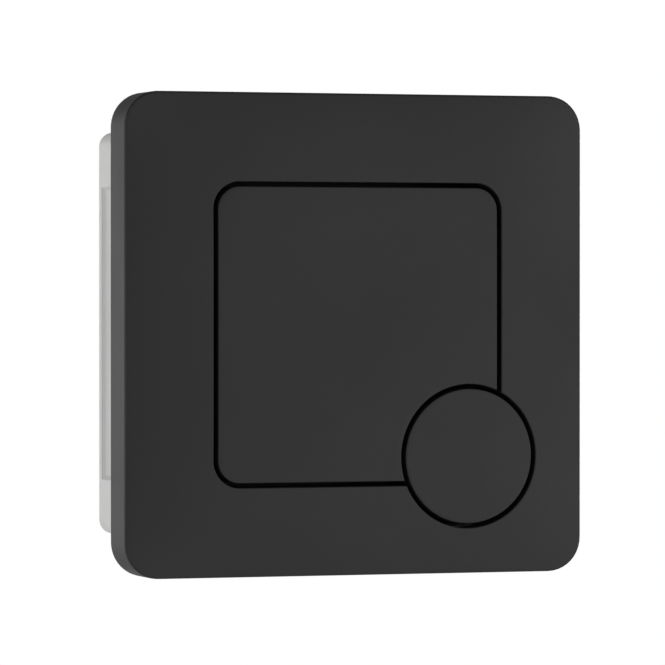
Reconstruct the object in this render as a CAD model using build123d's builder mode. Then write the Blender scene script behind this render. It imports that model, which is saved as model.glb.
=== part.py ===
from build123d import *

import os
from math import sqrt

# A square flush plate for a wall: a large square button and a round one share a single opening, and
# both lie flush with the softly crowned front. Behind the wall, a box holds an air bellows for each.
# Millimetres. X runs right, Y runs into the wall, Z runs up. Y = 0 is the wall, X = Z = 0 the middle.

# Plate, seen square on
PLATE_SIZE = 86.0
PLATE_CORNER_R = 6.2
FRAME_WIDTH = 15.9
OPENING_CORNER_R = 4.85
ROUND_HOLE_R = 12.95
ROUND_EDGE_X = 9.17
ROUND_EDGE_Z = 8.14
BUTTON_GAP = 0.85

# Plate, in depth
RIM_DEPTH = 9.0
CROWN_RISE = 1.9
CROWN_RUNOUT = 1.0
PLATE_EDGE = 0.45
PLATE_WALL = 2.0
SKIRT_WALL = 2.0
COLLAR_WALL = 1.2
COLLAR_LIFT = 0.4
PLATE_RIB = 1.2
PLATE_RIB_SPACING = 38.0

# Snap hooks inside the plate's skirt
HOOK_BITE = 0.9
HOOK_LAND = 0.4
HOOK_HEIGHT = 1.5
HOOK_LENGTH = 12.0
HOOK_SPACING = 46.0
HOOK_PLAY = 0.15

# Buttons
TRAVEL = 5.5
STOP_GAP = 0.3
BUTTON_SKIRT = 7.0
BUTTON_WALL = 1.8
BUTTON_EDGE = 0.25
CAP_DEPTH = 0.6
BUTTON_RIB = 1.2
BUTTON_RIB_HEIGHT = 3.4
POST_SIZE = 4.4
POST_INSET = 7.3
POST_TIP = 1.2
POST_CHAMFER = 0.5
PUSHER_SIZE = 12.0
PUSHER_WALL = 2.0
PUSHER_REACH = 1.6
PUSHER_CLEARANCE = 0.8
PLUNGER_SIZE = 8.4
PLUNGER_WALL = 1.6

# Carrier that guides the buttons
CARRIER_WALL = 2.0
CARRIER_RIM = 1.6
CARRIER_RIM_DEPTH = 4.0
CARRIER_CLEARANCE = 0.35
CARRIER_CORNER_R = 1.0
RUNNING_CLEARANCE = 0.08
SLEEVE_WALL = 1.4
SLEEVE_LENGTH = 7.0

# Fork clips in the notches of the posts and the plunger
CLIP_WALL = 0.8
CLIP_PLAY = 0.3
CLIP_NOTCH = 0.7
CLIP_REACH = 1.7
CLIP_FIT = 0.05

# Return springs
SPRING_WIRE = 0.7
SPRING_TURNS = 3
SPRING_CHORDS = 8
SPRING_SIDES = 6
SPRING_CLEARANCE = 0.4
SPRING_PLAY = 0.05

# Box in the wall
MOUTH_CLEARANCE = 0.79
HOUSING_WALL = 2.0
HOUSING_BACK_WALL = 2.2
HOUSING_DEPTH = 29.6
HOUSING_CORNER_R = 2.6
HOUSING_INNER_R = 1.2
HOUSING_EDGE = 0.4
FLANGE_WALL = 2.0
FLANGE_CLEARANCE = 0.4
RECESS_DEPTH = 0.9
RECESS_POST = 10.15
RECESS_REAR_RIM = 2.0
RECESS_FRONT = 3.0
CORNER_POST = 6.4
FIXING_SPACING = 60.3
FIXING_HOLE_R = 2.25

# Foam seal between the flange and the wall
GASKET_WALL = 2.0
GASKET_INSET = 1.2
GASKET_CLEARANCE = 0.25

# Carrier screws
SCREW_INSET = 3.65
SCREW_R = 1.4
SCREW_LENGTH = 9.5
SCREW_FIT = 0.05
SCREW_CLEARANCE = 0.3
SCREW_HEAD_R = 2.7
SCREW_HEAD_HEIGHT = 1.9
SCREW_SLOT = 0.8
SCREW_SLOT_LENGTH = 3.2
SCREW_SLOT_DEPTH = 1.1
PILOT_DEPTH = 11.0

# Bellows
FULL_BELLOWS_R = 15.0
FULL_BELLOWS_FOLDS = 4
FULL_BELLOWS_SHIFT = 3.0
HALF_BELLOWS_R = 9.0
HALF_BELLOWS_FOLDS = 3
BELLOWS_FOLD_DEPTH = 2.6
BELLOWS_WALL = 1.3
BELLOWS_END_WALL = 1.5
BELLOWS_FACETS = 16

# Hose nipples and their nuts
NIPPLE_FLANGE_R = 4.4
NIPPLE_FLANGE_WALL = 1.2
NIPPLE_SHANK_R = 3.0
NIPPLE_BORE_R = 1.3
NIPPLE_STEM_R = 2.2
NIPPLE_STEM_LENGTH = 5.0
NIPPLE_BARB_R = 2.8
NIPPLE_BARB_LAND = 1.0
NIPPLE_TIP_R = 2.0
NIPPLE_TIP_LENGTH = 1.8
NIPPLE_FIT = 0.05
NUT_FLATS = 10.0
NUT_WALL = 3.0
NUT_CHAMFER = 0.5
NUT_STEP = 0.8

# How far a cut runs past the face it opens
OVERRUN = 1.0

INTO_WALL = (0, 1, 0)
OUT_OF_WALL = (0, -1, 0)

# Places worked out from the sizes above
opening_size = PLATE_SIZE - 2 * FRAME_WIDTH
round_spot = (
    PLATE_SIZE / 2 - ROUND_EDGE_X - ROUND_HOLE_R,
    ROUND_EDGE_Z + ROUND_HOLE_R - PLATE_SIZE / 2,
)
round_button_r = ROUND_HOLE_R - BUTTON_GAP
square_button_size = opening_size - 2 * BUTTON_GAP
square_button_corner_r = OPENING_CORNER_R - BUTTON_GAP

skirt_end_y = BUTTON_SKIRT - RIM_DEPTH
carrier_front_y = skirt_end_y + TRAVEL + STOP_GAP
carrier_back_y = carrier_front_y + CARRIER_WALL
sleeve_end_y = carrier_back_y + SLEEVE_LENGTH
clip_front_y = sleeve_end_y + CLIP_PLAY
post_end_y = clip_front_y + CLIP_WALL + POST_TIP
cap_back_y = CAP_DEPTH - RIM_DEPTH

housing_inner_size = PLATE_SIZE - 2 * (min(ROUND_EDGE_X, ROUND_EDGE_Z) + BUTTON_GAP - MOUTH_CLEARANCE)
housing_size = housing_inner_size + 2 * HOUSING_WALL
housing_floor_y = HOUSING_DEPTH - HOUSING_BACK_WALL
plate_inner_size = PLATE_SIZE - 2 * SKIRT_WALL
plate_inner_y = PLATE_WALL - RIM_DEPTH
flange_size = plate_inner_size - 2 * FLANGE_CLEARANCE
flange_corner_r = PLATE_CORNER_R - SKIRT_WALL - FLANGE_CLEARANCE
flange_back_y = -GASKET_WALL
flange_front_y = flange_back_y - FLANGE_WALL
carrier_size = housing_inner_size - 2 * CARRIER_CLEARANCE

post_reach = square_button_size / 2 - POST_INSET
post_spots = {
    "upper_left": (-post_reach, post_reach),
    "upper_right": (post_reach, post_reach),
    "lower_left": (-post_reach, -post_reach),
}
screw_reach = housing_inner_size / 2 - SCREW_INSET
screw_spots = [(-screw_reach, screw_reach), (screw_reach, screw_reach), (-screw_reach, -screw_reach)]

full_bellows_spot = (-FULL_BELLOWS_SHIFT, FULL_BELLOWS_SHIFT)
full_bellows_front_y = carrier_back_y + PUSHER_REACH
bellows_spots = {"full": full_bellows_spot, "half": round_spot}
bellows_radii = {"full": FULL_BELLOWS_R, "half": HALF_BELLOWS_R}
bellows_fronts = {"full": full_bellows_front_y, "half": post_end_y}
bellows_folds = {"full": FULL_BELLOWS_FOLDS, "half": HALF_BELLOWS_FOLDS}


def at_depth(y):
    """Plane across the plate at depth y, with X to the right and Z up."""
    return Plane.XZ.offset(-y)


def along_axis(spot):
    """Plane through an axis that runs into the wall at a spot, with its Y along that axis."""
    return Plane((spot[0], 0, spot[1]))


def into_wall_axis(spot):
    """Axis that runs into the wall at a spot."""
    return Axis((spot[0], 0, spot[1]), INTO_WALL)


def side_direction(turn):
    """Direction out of one of the four sides, turned about the middle of the plate."""
    return Vector(1, 0, 0).rotate(Axis.Y, turn)


def crown_face():
    """Crowned front of the plate and the buttons.

    The rise is CROWN_RISE * (1 - x**4) * (1 - z**4), with x and z counted in half plates, so it is nil all
    along the rim. That is exactly a degree four patch. It runs out past the rim so that it cuts cleanly.
    """
    half = PLATE_SIZE / 2
    reach = half + CROWN_RUNOUT
    fall = (reach / half) ** 4
    steps = [-reach, -reach / 2, 0, reach / 2, reach]
    rises = [1 - fall, 1 + fall, 1 - fall, 1 + fall, 1 - fall]
    net = [
        [(x, -RIM_DEPTH - CROWN_RISE * rise_x * rise_z, z) for z, rise_z in zip(steps, rises)]
        for x, rise_x in zip(steps, rises)
    ]
    return Face.make_bezier_surface(net)


def crowned_prism(outline, back_y):
    """Prism of an outline that starts at the crown and ends at depth back_y."""
    length = back_y + RIM_DEPTH + CROWN_RISE + OVERRUN
    with BuildPart() as prism:
        with BuildSketch(at_depth(back_y)):
            add(outline)
        extrude(amount=length, dir=OUT_OF_WALL)
        extrude(crown_face(), amount=length, dir=INTO_WALL, mode=Mode.INTERSECT)
    return prism.part


def opening_outline(grow):
    """The opening in the plate, a rounded square joined to the round hole, grown all round."""
    size = opening_size + 2 * grow
    with BuildSketch() as outline:
        RectangleRounded(size, size, OPENING_CORNER_R + grow)
        with Locations(round_spot):
            Circle(ROUND_HOLE_R + grow)
    return outline.sketch


def square_button_outline(inset):
    """The square button with the bite for the round one, taken in all round."""
    size = square_button_size - 2 * inset
    with BuildSketch() as outline:
        RectangleRounded(size, size, square_button_corner_r - inset)
        with Locations(round_spot):
            Circle(ROUND_HOLE_R + inset, mode=Mode.SUBTRACT)
    return outline.sketch


def discs(spots, radius):
    """Discs of one radius at each of some spots."""
    with BuildSketch() as outline:
        with Locations(*spots):
            Circle(radius)
    return outline.sketch


def squares(spots, size):
    """Squares of one size at each of some spots."""
    with BuildSketch() as outline:
        with Locations(*spots):
            Rectangle(size, size)
    return outline.sketch


def notches(spots, post_size):
    """Cuts in the left and right of posts of one size, which leave a neck for a fork clip."""
    neck_size = post_size - 2 * CLIP_NOTCH
    with BuildPart() as cuts:
        with BuildSketch(at_depth(clip_front_y)):
            with Locations(*spots):
                Rectangle(post_size + OVERRUN, post_size + OVERRUN)
                Rectangle(neck_size, post_size + OVERRUN, mode=Mode.SUBTRACT)
        extrude(amount=CLIP_WALL, dir=INTO_WALL)
    return cuts.part


os.makedirs("parts", exist_ok=True)

# Face plate: a moulded shell with a crowned front, a collar round the opening, ribs and snap hooks
with BuildSketch() as plate_outline:
    RectangleRounded(PLATE_SIZE, PLATE_SIZE, PLATE_CORNER_R)

with BuildPart() as face_plate:
    add(crowned_prism(plate_outline.sketch, 0))
    chamfer(face_plate.faces().sort_by(Axis.Y)[0].edges(), PLATE_EDGE)
    with BuildSketch(at_depth(plate_inner_y)):
        RectangleRounded(plate_inner_size, plate_inner_size, PLATE_CORNER_R - SKIRT_WALL)
    extrude(amount=-plate_inner_y, dir=INTO_WALL, mode=Mode.SUBTRACT)
    with BuildSketch(at_depth(plate_inner_y)):
        for turn in (0, 90):
            with Locations(Rotation(0, 0, turn)):
                with GridLocations(0, PLATE_RIB_SPACING, 1, 2):
                    Rectangle(PLATE_SIZE - SKIRT_WALL, PLATE_RIB)
    extrude(amount=flange_front_y - plate_inner_y, dir=INTO_WALL)
    with BuildSketch(at_depth(plate_inner_y)):
        add(opening_outline(COLLAR_WALL))
    extrude(amount=flange_front_y - COLLAR_LIFT - plate_inner_y, dir=INTO_WALL)
    with BuildSketch(at_depth(0)):
        add(opening_outline(0))
    extrude(amount=RIM_DEPTH + CROWN_RISE, dir=OUT_OF_WALL, mode=Mode.SUBTRACT)
    hook_front_y = flange_back_y + HOOK_PLAY
    hook_root = plate_inner_size / 2 + SKIRT_WALL / 2
    hook_tip = plate_inner_size / 2 - HOOK_BITE
    for turn in (0, 90, 180, 270):
        outward = side_direction(turn)
        sideways = outward.cross(Vector(INTO_WALL))
        for along in (-HOOK_SPACING / 2, HOOK_SPACING / 2):
            with BuildSketch(Plane(sideways * along, outward, sideways)):
                with BuildLine():
                    Polyline(
                        (hook_root, hook_front_y),
                        (hook_tip, hook_front_y),
                        (hook_tip, hook_front_y + HOOK_LAND),
                        (hook_root, hook_front_y + HOOK_HEIGHT),
                        close=True,
                    )
                make_face()
            extrude(amount=HOOK_LENGTH / 2, both=True)

face_plate.part.label = "face_plate"
export_step(face_plate.part, "parts/face_plate.step")

# Square button: a hollow cap with three guide posts, a cross-shaped pusher and ribs
with BuildSketch() as square_button_ribs:
    with Locations(full_bellows_spot):
        Rectangle(2 * PLATE_SIZE, BUTTON_RIB)
        Rectangle(BUTTON_RIB, 2 * PLATE_SIZE)
    add(square_button_outline(BUTTON_WALL / 2), mode=Mode.INTERSECT)

with BuildPart() as full_flush_button:
    add(crowned_prism(square_button_outline(0), skirt_end_y))
    chamfer(full_flush_button.faces().sort_by(Axis.Y)[0].edges(), BUTTON_EDGE)
    with BuildSketch(at_depth(cap_back_y)):
        add(square_button_outline(BUTTON_WALL))
    extrude(amount=skirt_end_y - cap_back_y, dir=INTO_WALL, mode=Mode.SUBTRACT)
    with BuildSketch(at_depth(cap_back_y)):
        add(square_button_ribs.sketch)
    extrude(amount=BUTTON_RIB_HEIGHT, dir=INTO_WALL)
    with BuildSketch(at_depth(cap_back_y)):
        with Locations(full_bellows_spot):
            Rectangle(PUSHER_SIZE, PUSHER_WALL)
            Rectangle(PUSHER_WALL, PUSHER_SIZE)
    extrude(amount=full_bellows_front_y - cap_back_y, dir=INTO_WALL)
    with BuildSketch(at_depth(cap_back_y)):
        add(squares(post_spots.values(), POST_SIZE))
    extrude(amount=post_end_y - cap_back_y, dir=INTO_WALL)
    chamfer(full_flush_button.edges().group_by(Axis.Y)[-1], POST_CHAMFER)
    add(notches(post_spots.values(), POST_SIZE), mode=Mode.SUBTRACT)

full_flush_button.part.label = "full_flush_button"
export_step(full_flush_button.part, "parts/full_flush_button.step")

# Round button: a hollow cap on a square plunger, which keeps it from turning
with BuildPart() as half_flush_button:
    add(crowned_prism(discs([round_spot], round_button_r), skirt_end_y))
    chamfer(half_flush_button.faces().sort_by(Axis.Y)[0].edges(), BUTTON_EDGE)
    with BuildSketch(at_depth(cap_back_y)):
        add(discs([round_spot], round_button_r - BUTTON_WALL))
    extrude(amount=skirt_end_y - cap_back_y, dir=INTO_WALL, mode=Mode.SUBTRACT)
    with BuildSketch(at_depth(cap_back_y)):
        add(squares([round_spot], PLUNGER_SIZE))
    extrude(amount=post_end_y - cap_back_y, dir=INTO_WALL)
    chamfer(half_flush_button.edges().group_by(Axis.Y)[-1], POST_CHAMFER)
    with BuildSketch(at_depth(cap_back_y)):
        add(squares([round_spot], PLUNGER_SIZE - 2 * PLUNGER_WALL))
    extrude(amount=post_end_y - cap_back_y, dir=INTO_WALL, mode=Mode.SUBTRACT)
    add(notches([round_spot], PLUNGER_SIZE), mode=Mode.SUBTRACT)

half_flush_button.part.label = "half_flush_button"
export_step(half_flush_button.part, "parts/half_flush_button.step")

# Carrier: a rimmed plate in the mouth of the box, with a guide sleeve for each post and for the plunger
sleeves = [(spot, POST_SIZE) for spot in post_spots.values()] + [(round_spot, PLUNGER_SIZE)]

with BuildPart() as button_carrier:
    with BuildSketch(at_depth(carrier_front_y)):
        RectangleRounded(carrier_size, carrier_size, CARRIER_CORNER_R)
    extrude(amount=CARRIER_WALL, dir=INTO_WALL)
    with BuildSketch(at_depth(carrier_back_y)):
        RectangleRounded(carrier_size, carrier_size, CARRIER_CORNER_R)
        inner_size = carrier_size - 2 * CARRIER_RIM
        Rectangle(inner_size, inner_size, mode=Mode.SUBTRACT)
        with GridLocations(housing_inner_size, housing_inner_size, 2, 2):
            corner_relief = 2 * (CORNER_POST + CARRIER_CLEARANCE)
            Rectangle(corner_relief, corner_relief, mode=Mode.SUBTRACT)
    extrude(amount=CARRIER_RIM_DEPTH, dir=INTO_WALL)
    for spot, post_size in sleeves:
        bore_size = post_size + 2 * RUNNING_CLEARANCE
        with BuildSketch(at_depth(carrier_back_y)):
            add(squares([spot], bore_size + 2 * SLEEVE_WALL))
        extrude(amount=SLEEVE_LENGTH, dir=INTO_WALL)
        with BuildSketch(at_depth(carrier_front_y)):
            add(squares([spot], bore_size))
        extrude(amount=CARRIER_WALL + SLEEVE_LENGTH, dir=INTO_WALL, mode=Mode.SUBTRACT)
    with BuildSketch(at_depth(carrier_front_y)):
        add(squares([full_bellows_spot], PUSHER_SIZE + 2 * PUSHER_CLEARANCE))
        add(discs(screw_spots, SCREW_R + SCREW_CLEARANCE))
    extrude(amount=CARRIER_WALL, dir=INTO_WALL, mode=Mode.SUBTRACT)

button_carrier.part.label = "button_carrier"
export_step(button_carrier.part, "parts/button_carrier.step")

# Box in the wall: a flange under the plate, relieved sides and corner posts that bear the carrier
with BuildPart() as housing:
    with BuildSketch(at_depth(flange_front_y)):
        RectangleRounded(housing_size, housing_size, HOUSING_CORNER_R)
    extrude(amount=HOUSING_DEPTH - flange_front_y, dir=INTO_WALL)
    chamfer(housing.faces().sort_by(Axis.Y)[-1].edges(), HOUSING_EDGE)
    with BuildSketch(at_depth(flange_front_y)):
        RectangleRounded(flange_size, flange_size, flange_corner_r)
    extrude(amount=FLANGE_WALL, dir=INTO_WALL)
    with BuildSketch(at_depth(flange_front_y)):
        RectangleRounded(housing_inner_size, housing_inner_size, HOUSING_INNER_R)
    extrude(amount=housing_floor_y - flange_front_y, dir=INTO_WALL, mode=Mode.SUBTRACT)
    recess_length = HOUSING_DEPTH - RECESS_REAR_RIM - RECESS_FRONT
    recess_height = housing_size - 2 * RECESS_POST
    for turn in (0, 90, 180, 270):
        outward = side_direction(turn)
        recess_middle = outward * (housing_size / 2) + Vector(INTO_WALL) * (RECESS_FRONT + recess_length / 2)
        with BuildSketch(Plane(recess_middle, INTO_WALL, outward)):
            Rectangle(recess_length, recess_height)
        extrude(amount=-RECESS_DEPTH, mode=Mode.SUBTRACT)
    with BuildSketch(at_depth(carrier_back_y)):
        with GridLocations(housing_inner_size, housing_inner_size, 2, 2):
            Rectangle(2 * CORNER_POST, 2 * CORNER_POST)
        RectangleRounded(
            housing_inner_size + HOUSING_WALL,
            housing_inner_size + HOUSING_WALL,
            HOUSING_INNER_R + HOUSING_WALL / 2,
            mode=Mode.INTERSECT,
        )
    extrude(amount=housing_floor_y - carrier_back_y, dir=INTO_WALL)
    with BuildSketch(at_depth(carrier_back_y)):
        add(discs(screw_spots, SCREW_R + SCREW_FIT))
    extrude(amount=PILOT_DEPTH, dir=INTO_WALL, mode=Mode.SUBTRACT)
    with BuildSketch(at_depth(housing_floor_y)):
        add(discs(bellows_spots.values(), NIPPLE_SHANK_R + NIPPLE_FIT))
        with GridLocations(FIXING_SPACING, 0, 2, 1):
            Circle(FIXING_HOLE_R)
    extrude(amount=HOUSING_BACK_WALL, dir=INTO_WALL, mode=Mode.SUBTRACT)

housing.part.label = "housing"
export_step(housing.part, "parts/housing.step")

# Foam seal behind the flange
with BuildPart() as flange_gasket:
    with BuildSketch(at_depth(flange_back_y)):
        gasket_size = flange_size - 2 * GASKET_INSET
        RectangleRounded(gasket_size, gasket_size, flange_corner_r - GASKET_INSET)
        hole_size = housing_size + 2 * GASKET_CLEARANCE
        RectangleRounded(hole_size, hole_size, HOUSING_CORNER_R + GASKET_CLEARANCE, mode=Mode.SUBTRACT)
    extrude(amount=GASKET_WALL, dir=INTO_WALL)

flange_gasket.part.label = "flange_gasket"
export_step(flange_gasket.part, "parts/flange_gasket.step")

# Carrier screws: pan heads with a cross recess, three in one node
with BuildPart() as carrier_screws:
    with BuildSketch(at_depth(carrier_front_y)):
        add(discs(screw_spots, SCREW_HEAD_R))
    extrude(amount=SCREW_HEAD_HEIGHT, dir=OUT_OF_WALL)
    with BuildSketch(at_depth(carrier_front_y)):
        add(discs(screw_spots, SCREW_R))
    extrude(amount=SCREW_LENGTH, dir=INTO_WALL)
    with BuildSketch(at_depth(carrier_front_y - SCREW_HEAD_HEIGHT)):
        with Locations(*screw_spots):
            Rectangle(SCREW_SLOT_LENGTH, SCREW_SLOT)
            Rectangle(SCREW_SLOT, SCREW_SLOT_LENGTH)
    extrude(amount=SCREW_SLOT_DEPTH, dir=INTO_WALL, mode=Mode.SUBTRACT)

carrier_screws.part.label = "carrier_screws"
export_step(carrier_screws.part, "parts/carrier_screws.step")


def fork_clips(spots, post_size):
    """Forks pushed down into the notches of posts of one size, behind the ends of their sleeves."""
    size = post_size + 2 * CLIP_REACH
    slot_size = post_size - 2 * CLIP_NOTCH + 2 * CLIP_FIT
    with BuildPart() as forks:
        with BuildSketch(at_depth(clip_front_y)):
            add(squares(spots, size))
            for x, z in spots:
                with Locations((x, z + post_size / 2 + CLIP_FIT)):
                    Rectangle(slot_size, size, align=(Align.CENTER, Align.MAX), mode=Mode.SUBTRACT)
        extrude(amount=CLIP_WALL, dir=INTO_WALL)
    return forks.part


def coil_spring(spot, post_size):
    """Return spring round a square post, from the cap to the carrier, wound in short straight chords."""
    mean_r = post_size / sqrt(2) + SPRING_CLEARANCE + SPRING_WIRE / 2
    start_y = cap_back_y + SPRING_WIRE / 2 + SPRING_PLAY
    height = carrier_front_y - SPRING_WIRE / 2 - SPRING_PLAY - start_y
    chords = SPRING_TURNS * SPRING_CHORDS
    with BuildPart() as spring:
        for i in range(chords + 1):
            outward = side_direction(i * 360 / SPRING_CHORDS)
            middle = Vector(spot[0], start_y + height * i / chords, spot[1]) + outward * mean_r
            with BuildSketch(Plane(middle, outward, outward.cross(Vector(INTO_WALL)))):
                RegularPolygon(SPRING_WIRE / 2, SPRING_SIDES)
        loft(ruled=True)
    return spring.part


def bellows(spot, outer_r, front_y, folds):
    """Rubber bellows with a closed front and a base that its nipple clamps to the back of the box.

    Each fold is a many-sided lens, widest at its middle, and its hollow is a smaller one.
    """
    fold_front_y = front_y + BELLOWS_END_WALL
    fold_back_y = housing_floor_y - BELLOWS_END_WALL
    half_fold = (fold_back_y - fold_front_y) / folds / 2
    around = [side_direction(i * 360 / BELLOWS_FACETS) for i in range(BELLOWS_FACETS)]
    with BuildPart() as shell:
        for end_y, end_r in ((front_y, outer_r - BELLOWS_FOLD_DEPTH), (fold_back_y, outer_r)):
            with BuildSketch(at_depth(end_y)):
                with Locations(spot):
                    RegularPolygon(end_r, BELLOWS_FACETS)
            extrude(amount=BELLOWS_END_WALL, dir=INTO_WALL)
        for peak_r, mode in ((outer_r, Mode.ADD), (outer_r - BELLOWS_WALL, Mode.SUBTRACT)):
            root_r = peak_r - BELLOWS_FOLD_DEPTH
            for i in range(folds):
                peak = Vector(spot[0], fold_front_y + (2 * i + 1) * half_fold, spot[1])
                step = Vector(INTO_WALL) * half_fold
                rings = ((peak - step, root_r), (peak, peak_r), (peak + step, root_r))
                ConvexPolyhedron([middle + out * r for middle, r in rings for out in around], mode=mode)
        with BuildSketch(at_depth(fold_back_y)):
            add(discs([spot], NIPPLE_SHANK_R + NIPPLE_FIT))
        extrude(amount=BELLOWS_END_WALL, dir=INTO_WALL, mode=Mode.SUBTRACT)
    return shell.part


def hose_nipple(spot):
    """Barbed nipple whose flange clamps the bellows from inside and whose shank goes through the box."""
    flange_back = housing_floor_y - BELLOWS_END_WALL
    shank_end = HOUSING_DEPTH + NUT_WALL + NUT_STEP
    land_start = shank_end + NIPPLE_STEM_LENGTH
    land_end = land_start + NIPPLE_BARB_LAND
    tip = land_end + NIPPLE_TIP_LENGTH
    with BuildPart() as nipple:
        with BuildSketch(along_axis(spot)):
            with BuildLine():
                Polyline(
                    (NIPPLE_BORE_R, flange_back - NIPPLE_FLANGE_WALL),
                    (NIPPLE_FLANGE_R, flange_back - NIPPLE_FLANGE_WALL),
                    (NIPPLE_FLANGE_R, flange_back),
                    (NIPPLE_SHANK_R, flange_back),
                    (NIPPLE_SHANK_R, shank_end),
                    (NIPPLE_STEM_R, shank_end),
                    (NIPPLE_STEM_R, land_start),
                    (NIPPLE_BARB_R, land_start),
                    (NIPPLE_BARB_R, land_end),
                    (NIPPLE_TIP_R, tip),
                    (NIPPLE_BORE_R, tip),
                    close=True,
                )
            make_face()
        revolve(axis=into_wall_axis(spot))
    return nipple.part


def nipple_nut(spot):
    """Hexagon nut on the back of the box."""
    with BuildPart() as nut:
        with BuildSketch(at_depth(HOUSING_DEPTH)):
            with Locations(spot):
                RegularPolygon(NUT_FLATS / 2, 6, major_radius=False)
        extrude(amount=NUT_WALL, dir=INTO_WALL)
        chamfer(nut.faces().sort_by(Axis.Y)[-1].edges(), NUT_CHAMFER)
        with BuildSketch(at_depth(HOUSING_DEPTH)):
            add(discs([spot], NIPPLE_SHANK_R + NIPPLE_FIT))
        extrude(amount=NUT_WALL, dir=INTO_WALL, mode=Mode.SUBTRACT)
    return nut.part


# Pieces that repeat
small_parts = {
    "full_post_clips": fork_clips(list(post_spots.values()), POST_SIZE),
    "half_plunger_clip": fork_clips([round_spot], PLUNGER_SIZE),
    "half_spring": coil_spring(round_spot, PLUNGER_SIZE),
}
for name, spot in post_spots.items():
    small_parts[f"full_spring_{name}"] = coil_spring(spot, POST_SIZE)
for name, spot in bellows_spots.items():
    small_parts[f"{name}_bellows"] = bellows(
        spot, bellows_radii[name], bellows_fronts[name], bellows_folds[name]
    )
    small_parts[f"{name}_hose_nipple"] = hose_nipple(spot)
    small_parts[f"{name}_nipple_nut"] = nipple_nut(spot)

for name, part in small_parts.items():
    part.label = name
    export_step(part, f"parts/{name}.step")
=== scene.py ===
import logging
from dataclasses import dataclass
from enum import Enum
from math import cos, pi, radians, sin, sqrt
from typing import Any, ClassVar, Iterable, Mapping, Sequence

import bmesh
import bpy
import numpy as np
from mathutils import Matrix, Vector


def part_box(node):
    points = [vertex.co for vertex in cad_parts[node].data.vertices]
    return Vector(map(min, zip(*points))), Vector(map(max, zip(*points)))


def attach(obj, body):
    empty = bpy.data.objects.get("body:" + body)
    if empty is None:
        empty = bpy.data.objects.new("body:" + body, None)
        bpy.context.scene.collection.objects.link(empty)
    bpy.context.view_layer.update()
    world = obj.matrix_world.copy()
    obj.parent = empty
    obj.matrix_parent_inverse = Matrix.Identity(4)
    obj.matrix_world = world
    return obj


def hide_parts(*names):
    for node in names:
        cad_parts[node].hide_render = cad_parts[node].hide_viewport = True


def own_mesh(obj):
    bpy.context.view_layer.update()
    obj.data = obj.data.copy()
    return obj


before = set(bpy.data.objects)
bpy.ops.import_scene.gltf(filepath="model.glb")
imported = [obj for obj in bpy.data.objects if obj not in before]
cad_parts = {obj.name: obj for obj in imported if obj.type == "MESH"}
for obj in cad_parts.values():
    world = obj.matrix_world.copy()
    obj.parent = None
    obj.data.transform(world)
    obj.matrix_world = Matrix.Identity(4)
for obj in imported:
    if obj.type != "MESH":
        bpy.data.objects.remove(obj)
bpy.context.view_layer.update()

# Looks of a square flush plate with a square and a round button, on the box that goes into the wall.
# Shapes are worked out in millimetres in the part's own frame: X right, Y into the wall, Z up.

# Metres to a millimetre.
MM = 0.001

# Sizes that several pieces share, in millimetres.
CROWN_RISE = 1.9
BUTTON_GAP = 0.85
CARRIER_BACK = 5.8
SOFT_EDGE = 0.15
BAR_R = 0.3
# How far a cut runs past the face that it opens.
CUT_PAST = 1.0
# Points closer together than this are one point.
WELD = 0.0005

# Faces that turn by less than this are one flat face.
FLAT_ANGLE = radians(0.5)
# Faces that turn by less than this are shaded as one.
SMOOTH_ANGLE = radians(32)

# How many points the stretches of an outline have.
SHORT_RUN = 14
LONG_RUN = 22
CORNER_ARC = 14
DISC_ARC = 72
BAR_ARC = 5
HOLE_ARC = 64
# How many faces go round a softened edge.
EDGE_FACES = 3
# The most of a straight stretch that the rounding of its corner takes.
LEG_SHARE = 0.4

WHITE = "#ffffff"

log = logging.getLogger("flush_plate")

Spot = tuple[float, float]
Colour = tuple[float, float, float, float]
Profile = list[tuple[float, float]]


class Body(Enum):
    """Bodies of the mechanism."""

    WALL_UNIT = "wall_unit"
    FULL_BUTTON = "full_button"
    HALF_BUTTON = "half_button"


class Press(Enum):
    """Ways that the buttons move."""

    FULL = "full_flush_press"
    HALF = "half_flush_press"


class Slot(Enum):
    """Finishes that the record names."""

    BLACK_ABS = "black_abs"
    NATURAL_PP = "natural_pp"
    WHITE_ACETAL = "white_acetal"
    BLACK_ACETAL = "black_acetal"
    EPDM_RUBBER = "epdm_rubber"
    FOAM_SEAL = "foam_seal"
    ZINC_STEEL = "zinc_steel"
    SPRING_STEEL = "spring_steel"


class Join(Enum):
    """Ways that one solid shape changes another."""

    ADD = "UNION"
    CUT = "DIFFERENCE"


def linear(colour: str) -> Colour:
    """Turns an sRGB hex colour to linear light.

    Args:
        colour: The colour as "#rrggbb".

    Returns:
        Red, green, blue and alpha.
    """
    channels = [int(colour[i:i + 2], 16) / 255 for i in (1, 3, 5)]
    red, green, blue = [c / 12.92 if c <= 0.04045 else ((c + 0.055) / 1.055) ** 2.4 for c in channels]
    return red, green, blue, 1.0


def add_node(
    tree: bpy.types.NodeTree, kind: str, inputs: Mapping[Any, Any] | None = None, **settings: Any
) -> bpy.types.Node:
    """Adds a node to a tree of either sort.

    Args:
        tree: The material's or the geometry's node tree.
        kind: Blender's name for the kind of node.
        inputs: What goes into each input, by name or number: another node's output, or a plain value.
        settings: The node's own settings.

    Returns:
        The node.
    """
    node = tree.nodes.new(kind)
    for name, value in settings.items():
        setattr(node, name, value)
    for key, value in (inputs or {}).items():
        if isinstance(value, bpy.types.NodeSocket):
            tree.links.new(value, node.inputs[key])
        else:
            node.inputs[key].default_value = value
    return node


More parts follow.
